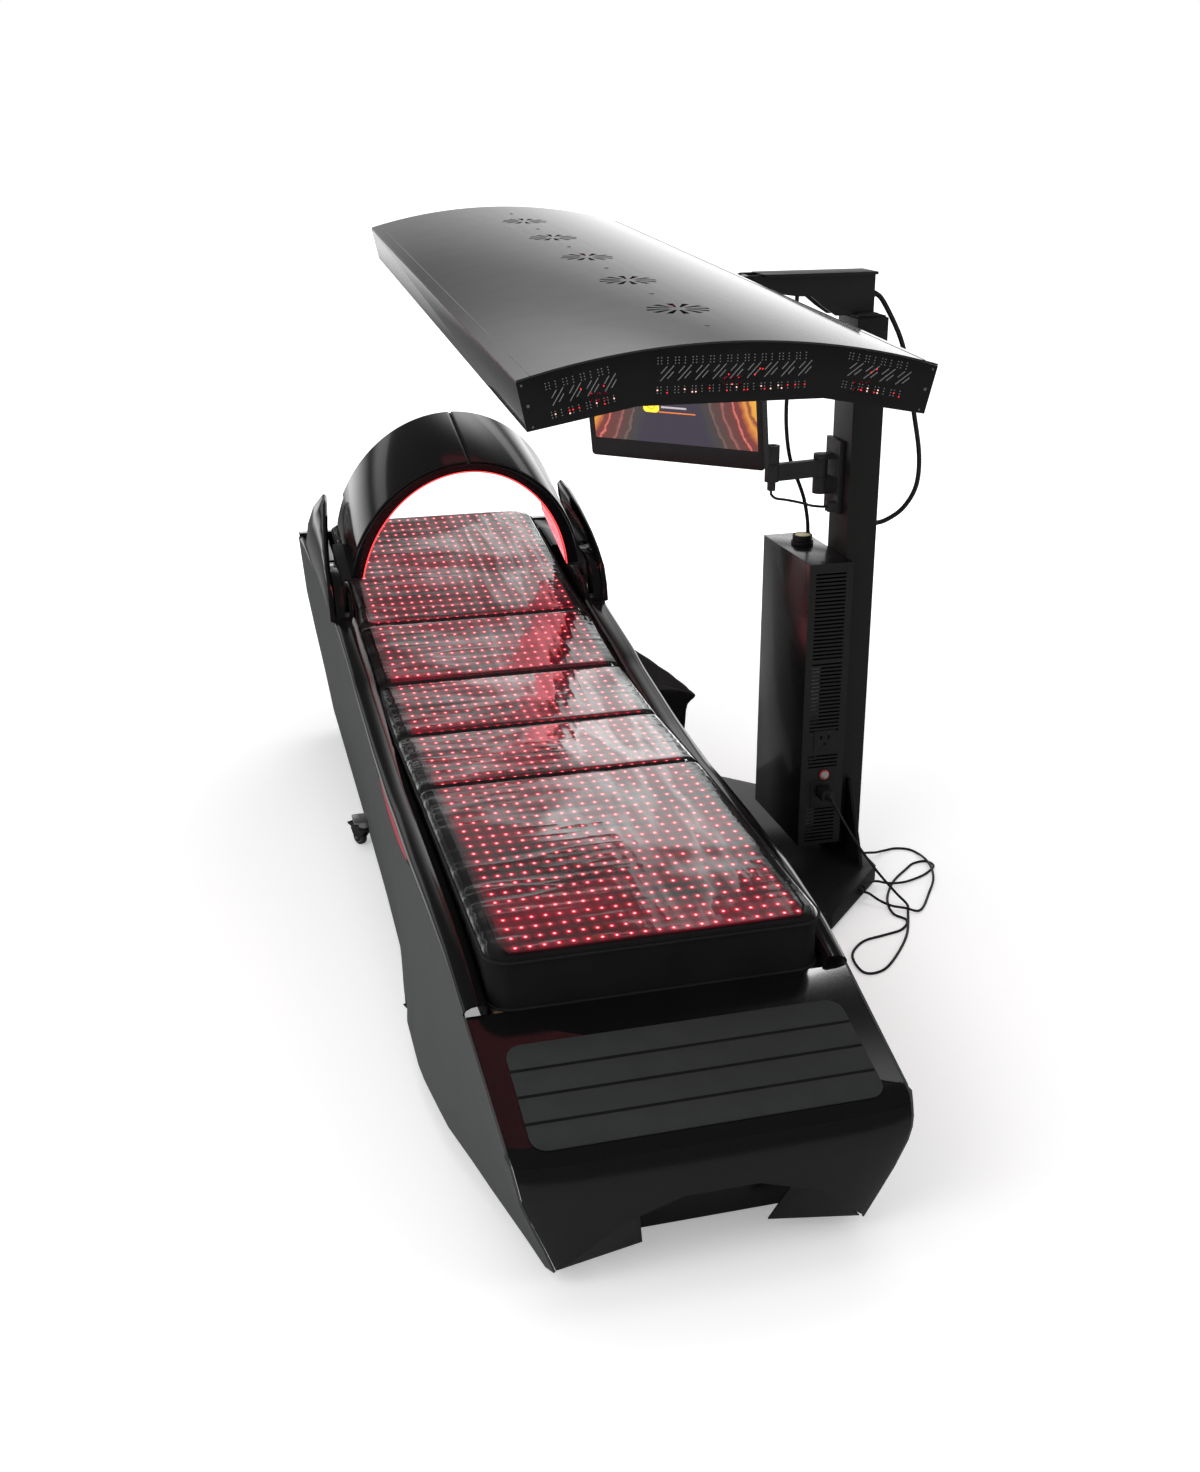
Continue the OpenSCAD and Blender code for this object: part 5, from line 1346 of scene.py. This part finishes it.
@dataclass
class Shell:
    """The bed's shells, its glow strips, the foot deck and the chassis."""

    finishes: Finishes
    deck_slope: float = 15.0
    groove_depth: float = 0.0009
    nose_facing: float = -0.75

    def build(self) -> None:
        """Dresses every shell and the frame under them."""
        finishes = self.finishes
        for side in ("left", "right"):
            dress(f"side_panel_{side}", f"side_shell_{side}", finishes.panel, 28)
        dress("side_bands", "side_lips", finishes.gloss, 40)
        dress("head_shell", "head_end", finishes.gloss, 35)
        cowl = dress("foot_shell", "foot_cowl", finishes.gloss, 40)
        second_finish(cowl, finishes.nose, lambda face: face.normal.y < self.nose_facing)
        self.deck()
        dress("toe_kick_panel", "toe_recess", finishes.nose, 30, 0.001)
        self.glow()
        dress("bed_frame", "chassis", finishes.steel)
        dress("mattress_board", "board", finishes.wood, 30, 0.002)

    def deck(self) -> None:
        """The anti-slip mat, with painted shade in its grooves: their faces get a darker rubber than its
        planks.
        """
        mat = dress("foot_deck_mat", "step_mat", self.finishes.tread, 30, 0.0012)
        slope = math.radians(self.deck_slope)
        up = Vector((0, -math.sin(slope), math.cos(slope)))
        floor = max(v.co.dot(up) for v in mat.data.vertices) - self.groove_depth
        # Faces sunk below the mat's top get the darker finish, painted shade in the grooves.
        second_finish(mat, self.finishes.groove_shade,
                      lambda face: face.center.dot(up) < floor and abs(face.normal.dot(up)) > 0.5)

    def glow(self) -> None:
        """The red light strips set below the sheer line."""
        material, tree, shader = plain_material("glow strip")
        cloud = noise(tree, object_place(tree), 30.0)
        fill(shader, Base_Color=(0.04, 0.004, 0.006), Roughness=0.35, Emission_Strength=0.32,
             Emission_Color=mix_colours(tree, cloud, (1.0, 0.03, 0.07), (1.0, 0.16, 0.22)))
        mount(cad_copy("glow_strips", "glow_bars", 40), "root", material)


# ---------------------------------------------------------------- hood


def grown(size: Pair, by: float) -> Pair:
    """A half width and a height, each larger by a length."""
    return size[0] + by, size[1] + by


@dataclass
class Hood:
    """The tilting hood, the pods and fins that carry it, and its lit lining. Sizes in mm."""

    finishes: Finishes
    pivot: Pair = (2046.0, 525.0)
    lean: float = 17.0
    centre: float = 31.5
    cut: float = 95.0
    near: float = 20.0
    far: float = 301.0
    rim: float = 8.0
    inner: Pair = (268.0, 347.0)
    outer: Pair = (302.0, 371.0)

    def band(self, name: str, small: Pair, large: Pair, y0: float, y1: float, bevel: float = 0.0,
             span: Pair | None = None) -> Object:
        """An arch between two half ellipses, made in the hood's own frame.

        Args:
            name: The new object's name.
            small: Half width and height of its inside.
            large: Half width and height of its outside.
            y0: Where it starts.
            y1: Where it ends.
            bevel: Radius of its edges.
            span: First and last angle, or None to end at the hood's cut edge.

        Returns:
            The arch, in its place.
        """
        clear_selection()
        bpy.ops.mesh.primitive_circle_add(vertices=192, radius=1, fill_type="NOTHING",
                                          rotation=(math.pi / 2, 0, 0))
        obj = named(name)
        edit(obj)
        bpy.ops.transform.resize(value=(large[0], 1, large[1]))
        bpy.ops.mesh.duplicate()
        bpy.ops.transform.resize(value=(small[0] / large[0], 1, small[1] / large[1]))
        bpy.ops.mesh.select_all(action="SELECT")
        bpy.ops.mesh.bridge_edge_loops()
        bpy.ops.mesh.select_all(action="SELECT")
        bpy.ops.transform.translate(value=(0, y0, self.centre))
        if span is None:
            cuts = [(self.cut, (0, 0, -1))]
        else:
            cuts = [(self.centre, (way * math.sin(angle), 0, -way * math.cos(angle)))
                    for angle, way in zip(map(math.radians, span), (1, -1))]
        for height, normal in cuts:
            bpy.ops.mesh.select_all(action="SELECT")
            bpy.ops.mesh.bisect(plane_co=(0, 0, height), plane_no=normal, clear_outer=True)
        bpy.ops.mesh.select_all(action="SELECT")
        bpy.ops.mesh.extrude_region_move(TRANSFORM_OT_translate={"value": (0, y1 - y0, 0)})
        bpy.ops.object.mode_set(mode="OBJECT")
        outward(obj, 0.01)
        if bevel:
            modify(obj, "BEVEL", width=bevel, segments=4, limit_method="ANGLE", angle_limit=math.radians(50))
        obj.data.transform(frame_at((0, self.pivot[0] - BASE_Y_MM, self.pivot[1]), pitch=self.lean))
        return smooth(obj, 40)

    def build(self) -> None:
        """Makes the arch, its covers, its lining, the arms, the pods, the fins and the knob."""
        gloss = self.finishes.gloss
        shell = join("hood_arch", [
            self.band("rim_near", self.inner, self.outer, self.near, self.near + self.rim, 2.5),
            self.band("rim_far", self.inner, self.outer, self.far - self.rim, self.far, 2.5),
            self.band("hood_skin", grown(self.outer, -5), grown(self.outer, -0.2),
                      self.near + 3, self.far - 3)])
        mount(shell, "hood", gloss.build(), ["arch_shell"])
        dress("arch_arms", "hood_arms", self.finishes.steel, 35, 0.0008)
        self.covers()
        self.lining()
        dress("arch_pods", "pods", gloss, 35, 0.004, 4)
        dress("arch_wings", "fins", gloss, 48)
        self.knob()

    def covers(self) -> None:
        """Two raised covers over the crown, with rounded corners."""
        for name, span in (("cover_right", (28.0, 89.6)), ("cover_left", (90.4, 152.0))):
            piece = self.band(name, grown(self.outer, 0.3), grown(self.outer, 6),
                              self.near + 4, self.far - 4, 3.0, span)
            mount(piece, "hood", self.finishes.cover.build(), ["arch_covers"])

    def lining(self) -> None:
        """The pink lit lining with its rows of light points, and the glow along the near rim."""
        material, tree, shader = plain_material("lit lining")
        place = object_place(tree)
        dots = add(tree, "TexVoronoi", Vector=place, Scale=42.0, Randomness=0.15)
        spot = math_node(tree, "LESS_THAN", dots.outputs["Distance"], 0.22)
        # led_spill: the pink glow of the lining's lamps, painted over the whole lining as its colour and its
        # light.
        led_spill = mix_colours(tree, noise(tree, place, 5.0), (0.95, 0.16, 0.22), (1.0, 0.38, 0.42))
        fill(shader, Base_Color=led_spill, Roughness=0.3, Emission_Strength=0.75,
             Emission_Color=mix_colours(tree, spot, led_spill, (1.0, 0.86, 0.84)))
        piece = self.band("hood_lining", grown(self.inner, 1), grown(self.inner, 3.5),
                          self.near + 8.4, self.far - 8.4)
        mount(piece, "hood", material, ["arch_liner"])
        strip = self.band("rim_strip", grown(self.inner, 1.2), grown(self.inner, 4.2),
                          self.near - 0.6, self.near + 2)
        mount(strip, "hood", lit("rim light", (1.0, 0.05, 0.05), 2.0, (0.9, 0.03, 0.03)))

    def knob(self) -> None:
        """A small round knob on the front edge of the left pod."""
        x, y, z = -0.324, (self.pivot[0] - BASE_Y_MM - 71) * MM, 0.505
        stem = rod("knob_stem", (x, y + 0.001, z), (x, y - 0.010, z), 0.006, 0.0055, 28, 0.0006)
        cap = rod("knob_cap", (x, y - 0.010, z), (x, y - 0.020, z), 0.012, 0.011, 36, 0.002)
        mount(join("pod_knob", [stem, cap]), "root", self.finishes.gloss.build())


# ---------------------------------------------------------------- cloth flap


@dataclass
class Flap:
    """The cloth flap that hangs from the right side panel."""

    finishes: Finishes

    def build(self) -> None:
        """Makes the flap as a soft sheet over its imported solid."""
        obj = cad_copy("side_flap", "flap_cloth", 70)
        modify(obj, "SUBSURF", levels=2, render_levels=2)
        smooth(obj, 80)
        mount(obj, "root", self.finishes.cloth.build())


# ---------------------------------------------------------------- casters


@dataclass
class Casters:
    """Four twin-fork casters with bright plates, rivets and brake pedals. Sizes in mm."""

    finishes: Finishes
    reach: float = 330.0
    stations: Pair = (838.0, 1770.0)
    turns: Pair = (120.0, 60.0)
    trail: float = 22.0
    axle: float = 20.0

    def frame_of(self, i: int) -> Matrix:
        """Caster i's own frame: origin on the floor below its swivel, wheel along +X, in mm.

        Args:
            i: The caster's number, from 0.

        Returns:
            Its frame.
        """
        side = i % 2
        place = (self.reach if side else -self.reach, self.stations[i // 2] - BASE_Y_MM, 0)
        return frame_at(place, self.turns[side])

    def build(self) -> None:
        """Dresses each caster and adds its rivets and wheel rings."""
        finishes = self.finishes
        dress("caster_plates", "caster_mounts", finishes.bright, 30, 0.0006)
        for i in range(4):
            n = i + 1
            dress(f"caster_fork_{n}", f"fork_{n}", finishes.matt, 30, 0.0005)
            dress(f"caster_wheel_{n}", f"wheel_tyre_{n}", finishes.tyre, 30, 0.0004)
            dress(f"caster_pedal_{n}", f"pedal_{n}", finishes.matt, 30, 0.0006)
            self.bright_parts(i)

    def bright_parts(self, i: int) -> None:
        """Rivets on a fork's outer cheeks and a ring on each face of its wheel.

        Args:
            i: The caster's number, from 0.
        """
        spot = self.frame_of(i)
        bright = self.finishes.bright.build()
        rivets, rings = [], []
        for side in (-1, 1):
            for x, z, r in ((self.trail, self.axle, 3.4), (38.0, 45.0, 2.4), (4.0, 47.5, 2.2)):
                a, b = spot @ Vector((x, side * 11.3, z)), spot @ Vector((x, side * 12.8, z))
                rivets.append(rod(f"rivet_{i}_{side}_{x:.0f}", a, b, r * MM, 0.7 * r * MM, 20))
            face = spot @ Vector((self.trail, side * 7.2, self.axle))
            across = spot.to_3x3() @ Vector((0, 1, 0))
            rings.append(ring(f"ring_{i}_{side}", face, across, 0.0125, 0.0011, 40, 8))
        mount(join(f"fork_rivets_{i + 1}", rivets), f"swivel_{i + 1}", bright)
        mount(join(f"wheel_rings_{i + 1}", rings), f"wheel_{i + 1}", bright)


# ---------------------------------------------------------------- stand


@dataclass
class Stand:
    """Base, column, lift post and head bracket."""

    finishes: Finishes

    def build(self) -> None:
        """Dresses the stand's pieces."""
        finishes = self.finishes
        dress("stand_base", "base_body", finishes.stand, 30, 0.0025, 3)
        dress("base_feet", "feet", finishes.rubber, 30, 0.0015)
        dress("column_tube", "column", finishes.column, 30, 0.003, 3)
        dress("lift_post", "inner_post", finishes.column, 30, 0.002)
        dress("head_bracket", "bracket", finishes.stand, 30, 0.0008)


# ---------------------------------------------------------------- canopy


@dataclass
class Canopy:
    """The lamp canopy: curved top with fan grilles, frame, LED panels and fans. Sizes in mm."""

    finishes: Finishes
    origin: Point = (135.0, -68.0, 1412.0)
    pitch: float = 2.57
    yaw: float = -1.86
    front: float = 1052.0
    length: float = 1990.0
    half: float = 328.0
    crown: float = 46.0
    first_fan: float = 304.0
    fan_pitch: float = 334.0
    end_facing: float = -0.9
    vent_pitch: float = 26.8
    vent_columns: Point = (2.0, 7.5, 17.0)
    vent_low: float = -43.0
    vent_step: float = 4.3
    vent_thick: float = 0.6
    slot_width: float = 1.3
    slot_lean: float = 43.0

    def frame_of(self) -> Matrix:
        """The canopy's own frame, in mm from its hinge line's middle."""
        return frame_at(self.origin, self.yaw, self.pitch)

    def top(self, x: float) -> float:
        """Height of the curved top, x from the middle."""
        r = (self.half**2 + self.crown**2) / (2 * self.crown)
        return self.crown - r + math.sqrt(r * r - x * x)

    def build(self) -> None:
        """Dresses the canopy and adds its screws, its pale lines and its near end's vents."""
        finishes = self.finishes
        top = cad_copy("canopy_skin", "canopy_top", 35)
        modify(top, "WEIGHTED_NORMAL", keep_sharp=True)
        mount(top, "canopy", finishes.canopy.build())
        rails = dress("canopy_frame", "canopy_rails", finishes.canopy, 35, 0.0008)
        second_finish(rails, finishes.end, lambda face: face.normal.y < self.end_facing)
        dress("canopy_fans", "fans", finishes.matt)
        grid = (("Pitch X", 0.024), ("Pitch Y", 0.024), ("Start X", 0.012), ("Core", 0.0026),
                ("Ring", 0.0048), ("Halo", 0.012), ("Reach", 2.0))
        lamps = LampSheet("canopy lamps", (0.05, 0.05, 0.055), (0.08, 0.08, 0.085), 0.4, grid, 1.5)
        dress("led_panels", "lamp_boards", lamps)
        self.screws()
        self.seams()
        self.vents()

    def screws(self) -> None:
        """Six countersunk screws along the crown and three at each side of the near end."""
        spot = self.frame_of()
        heads = []
        for i in range(6):
            y, z = -self.front + self.first_fan + (i - 0.5) * self.fan_pitch, self.top(0)
            heads.append(rod(f"screw_{i}", spot @ Vector((0, y, z - 0.6)), spot @ Vector((0, y, z + 0.9)),
                             5.0 * MM, 3.6 * MM, 20))
        for side in (-1, 1):
            for x, z, r in ((320, -8, 2.2), (310, -38, 3.0), (303, -69, 2.2)):
                heads.append(rod(f"end_screw_{side}_{-z}", spot @ Vector((side * x, -self.front + 0.6, z)),
                                 spot @ Vector((side * x, -self.front - 0.8, z)), r * MM, 0.7 * r * MM, 16))
        mount(join("top_screws", heads), "canopy", self.finishes.steel_grey.build())

    def seams(self) -> None:
        """A fine pale line along each side of the curved top, 21 mm in from its edge."""
        spot = self.frame_of()
        lines = []
        for side in (-1, 1):
            x = side * (self.half - 21)
            ends = [spot @ Vector((x, y - self.front, self.top(x) - 0.2)) for y in (3, self.length - 3)]
            lines.append(rod(f"seam_{side}", *ends, 0.8 * MM, 0.8 * MM, 10))
        mount(join("top_seams", lines), "canopy", self.finishes.steel_grey.build())

    def holes(self, radius: float, depth: float, places: Sequence[Pair]) -> list[Object]:
        """Small round holes, seen from the near end.

        Args:
            radius: Their radius.
            depth: How thick each is.
            places: Where each is, across and up.

        Returns:
            One object for each place, in the near end's own frame.
        """
        made = []
        for x, z in places:
            clear_selection()
            bpy.ops.mesh.primitive_cylinder_add(vertices=10, radius=radius, depth=depth,
                                                rotation=(math.pi / 2, 0, 0), location=(x, 0, z))
            made.append(settle(bpy.context.object))
        return made

    def slot(self, half_length: float, x: float, z: float) -> Object:
        """A slanted slot, in the near end's own frame.

        Args:
            half_length: Half its length.
            x: Where its middle is, across.
            z: Where its middle is, up.

        Returns:
            The new object.
        """
        clear_selection()
        lean = (0, math.radians(self.slot_lean), 0)
        bpy.ops.mesh.primitive_cube_add(size=1, rotation=lean, location=(x, 0, z))
        bpy.context.object.scale = (self.slot_width, self.vent_thick, 2 * half_length)
        return settle(bpy.context.object)

    def vents(self) -> None:
        """Rows of air holes and slanted slots on the near end, with lit discs on some of them: painted red
        light from inside and painted pale glints.
        """
        rng = np.random.default_rng(5)
        spot = self.frame_of()
        pitch, step, low = self.vent_pitch, self.vent_step, self.vent_low
        pale = self.finishes.vent.build()
        # Painted light: red discs stand for light from inside shining through the vents, pale discs are
        # painted glints.
        painted_red_light, warm = lit("vent light", (1.0, 0.02, 0.03), 0.7), lit("vent glint", (1.0, 0.55, 0.5), 0.9)
        for name, x, z, turn, count in (("left", -286, -10.7, -12.5, 4), ("middle", -118, 20.6, 0, 9),
                                        ("right", 181, 18, 11.5, 4)):
            place = (spot @ Matrix.Translation((x, -self.front - 0.15, z))
                     @ Matrix.Rotation(math.radians(turn), 4, "Y"))
            columns = [(u, v + k * step) for u in self.vent_columns for v in (0.0, low) for k in (-1, 0, 1)]
            slots = [self.slot(*shape) for shape in ((15.2, 16.5, -18.6), (6.9, 11.7, -13.6),
                                                     (6.9, 21.5, -21.6))]
            unit = join(f"vents_{name}", self.holes(0.9, self.vent_thick, columns) + slots)
            modify(unit, "ARRAY", count=count, use_relative_offset=False, use_constant_offset=True,
                   constant_offset_displace=(pitch, 0, 0))
            unit.data.transform(place)
            mount(unit, "canopy", pale)
            ends = [(k * pitch + u, low + v)
                    for k in range(count) for u in self.vent_columns for v in (-step, 0)]
            chosen = rng.permutation(len(ends))[:2 * count]
            sparks = [(float(rng.uniform(4, count * pitch - 6)), float(rng.uniform(-27, -12)))
                      for _ in range(count // 2)]
            # The lit discs are painted red light and painted glints, set on chosen holes and a few spots
            # between them.
            for kind, material, spots in (("spark", painted_red_light, [ends[k] for k in chosen[::2]] + sparks),
                                          ("glint", warm, [ends[k] for k in chosen[1::2]])):
                lights = join(f"vent_{kind}_{name}", self.holes(1.15, 0.8, spots))
                lights.data.transform(place)
                mount(lights, "canopy", material)


# ---------------------------------------------------------------- cabinet


@dataclass
class Cabinet:
    """The cabinet on the column, with its sockets, its button and the handset."""

    finishes: Finishes

    def build(self) -> None:
        """Dresses the cabinet's pieces and adds the button's red ring and the handset's face."""
        finishes = self.finishes
        dress("cabinet_case", "case", finishes.case, 30, 0.0015)
        dress("cabinet_front", "louvred_front", finishes.louvre)
        dress("power_sockets", "sockets", finishes.matt, 30, 0.0006)
        dress("power_button", "button", finishes.bright, 30, 0.0006)
        dress("power_supply", "supply", finishes.supply)
        dress("power_plug", "plug", finishes.cable, 30, 0.0008)
        dress("handset", "hand_control", finishes.matt, 30, 0.0012, 3)
        low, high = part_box("power_button")
        middle = (low + high) / 2
        bezel = ring("button_ring", (middle.x, low.y + 0.0022, middle.z), (0, 1, 0),
                     radius=0.0106, thick=0.0012)
        mount(bezel, "root", finishes.red_ring.build())
        low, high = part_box("handset")
        middle = (low + high) / 2
        dial = rod("dial_face", (middle.x, middle.y, high.z - 0.0017), (middle.x, middle.y, high.z - 0.0004),
                   radius=0.0178, far_radius=0.017, sides=40)
        mount(dial, "root", finishes.handset_face.build())


# ---------------------------------------------------------------- screen


@dataclass
class Screen:
    """The touch screen on its two-link arm. Sizes in mm."""

    finishes: Finishes
    at: Point = (337.5, -154.4, 1162.7)
    yaw: float = -42.4
    tilt: float = 10.7
    back: float = 24.0
    thick: float = 28.0
    up: float = 10.0
    rings: Pair = (362.0, 55.0)
    stops: tuple[tuple[float, Colour], ...] = (
        (0.0, (0.95, 0.50, 0.07)), (0.10, (0.85, 0.38, 0.06)), (0.14, (0.25, 0.05, 0.04)),
        (0.20, (0.85, 0.36, 0.07)), (0.26, (0.55, 0.16, 0.05)), (0.31, (0.22, 0.05, 0.045)),
        (0.38, (0.20, 0.05, 0.045)), (0.405, (0.85, 0.20, 0.16)), (0.43, (0.17, 0.05, 0.045)),
        (0.55, (0.14, 0.055, 0.05)), (0.60, (0.38, 0.13, 0.12)), (0.62, (0.12, 0.055, 0.05)),
        (0.74, (0.10, 0.06, 0.055)), (0.78, (0.19, 0.12, 0.11)), (0.80, (0.07, 0.055, 0.055)),
        (0.90, (0.055, 0.055, 0.06)), (1.0, (0.050, 0.043, 0.066)))

    def frame_of(self) -> Matrix:
        """The screen's own frame, in mm, with its face towards -Y."""
        return frame_at(self.at, self.yaw, self.tilt)

    def build(self) -> None:
        """Dresses the arm and the housing and draws the menu on the glass."""
        for node, name in (("arm_plate", "wall_plate"), ("arm_link", "first_link"),
                           ("arm_head", "second_link")):
            dress(node, name, self.finishes.arm, 30, 0.001)
        dress("monitor_housing", "screen_case", self.finishes.matt, 30, 0.0012)
        mount(cad_copy("monitor_screen", "glass", 30), "screen", self.picture())
        self.menu()

    def picture(self) -> Material:
        """A dusky picture with warm rings at both sides, in a design of its own.

        Returns:
            The material.
        """
        material, tree, shader = plain_material("screen glass")
        calc, spot = partial(math_node, tree), self.frame_of()
        flat = add(tree, "Mapping", Vector=object_place(tree))
        flat.vector_type = "TEXTURE"
        fill(flat, Location=spot.translation, Rotation=(spot.to_3x3() * 1000).to_euler(), Scale=(MM, MM, MM))
        x, _, z = axes(tree, flat.outputs["Vector"])
        out = calc("SUBTRACT", self.rings[0], calc("ABSOLUTE", x))
        rise = calc("SUBTRACT", z, self.rings[1])
        away = calc("SQRT", calc("ADD", calc("MULTIPLY", out, out), calc("MULTIPLY", rise, rise)))
        blur = calc("MULTIPLY", calc("SUBTRACT", noise(tree, flat.outputs["Vector"], 0.05, 5.0), 0.5), 16.0)
        share = calc("DIVIDE", calc("SUBTRACT", calc("ADD", away, blur), 176.0), 134.0)
        bands = add(tree, "ValToRGB", Fac=share)
        colours = bands.color_ramp.elements
        colours[0].color = (*self.stops[0][1], 1)
        colours[1].color = (*self.stops[-1][1], 1)
        for at, colour in self.stops[1:-1]:
            colours.new(at).color = (*colour, 1)
        fill(shader, Base_Color=(0.01, 0.008, 0.008), Roughness=0.2,
             Emission_Color=bands.outputs["Color"], Emission_Strength=1.0)
        return material

    def tile(self, name: str, x: float, z: float, wide: float, tall: float, radius: float) -> Object:
        """A flat rounded rectangle a hair in front of the glass.

        Args:
            name: The new object's name.
            x: Where its middle is, across.
            z: Where its middle is, up.
            wide: Its width.
            tall: Its height.
            radius: Radius of its corners.

        Returns:
            The new object.
        """
        clear_selection()
        bpy.ops.mesh.primitive_plane_add(size=1)
        bpy.context.object.scale = (wide, tall, 1)
        obj = named(name)
        edit(obj)
        bpy.ops.mesh.bevel(offset=radius, segments=5, affect="VERTICES")
        bpy.ops.object.mode_set(mode="OBJECT")
        upright = Matrix.Translation((x, self.face(), z)) @ Matrix.Rotation(math.pi / 2, 4, "X")
        obj.data.transform(self.frame_of() @ upright)
        return obj

    def face(self) -> float:
        """Where the menu lies, a hair in front of the glass."""
        return -self.back - self.thick + 0.15

    def menu(self) -> None:
        """Two plain rounded buttons with a ring, a bar and an underline each."""
        spot = self.frame_of()
        gold, orange = lit("menu gold", (0.93, 0.62, 0.03), 1.0), lit("menu orange", (0.62, 0.17, 0.03), 0.9)
        pale = lit("menu pale", (0.42, 0.40, 0.44), 0.8)
        tiles, lines, bars = [], [], []
        for k, z in enumerate((self.up - 8, self.up + 36)):
            tiles.append(self.tile(f"tile_{k}", -50, z, 37, 34, 9))
            lines.append(self.tile(f"line_{k}", 9, z - 15, 84, 2.6, 0.8))
            bars.append(self.tile(f"bar_{k}", 2, z - 4, 58, 4.0, 1.2))
            lines.append(ring(f"dial_{k}", spot @ Vector((-50, self.face() - 0.05, z)),
                              spot.to_3x3() @ Vector((0, 1, 0)), 0.0092, 0.0006, 32, 6))
        mount(join("menu_tiles", tiles), "screen", gold)
        mount(join("menu_lines", lines), "screen", orange)
        mount(join("menu_bars", bars), "screen", pale)


# ---------------------------------------------------------------- the whole bed


def main() -> None:
    """Builds the camera, the cords, the studio and every sub-assembly."""
    Viewpoint().build()
    finishes = Finishes()
    Cords(finishes).build()
    Studio().build()
    for part in (Mattress(finishes), Shell(finishes), Hood(finishes), Flap(finishes), Casters(finishes),
                 Stand(finishes), Canopy(finishes), Cabinet(finishes), Screen(finishes)):
        part.build()
        log.info("%s is done", type(part).__name__)
    clear_selection()
    bpy.context.view_layer.update()


if __name__ == "__main__":
    main()
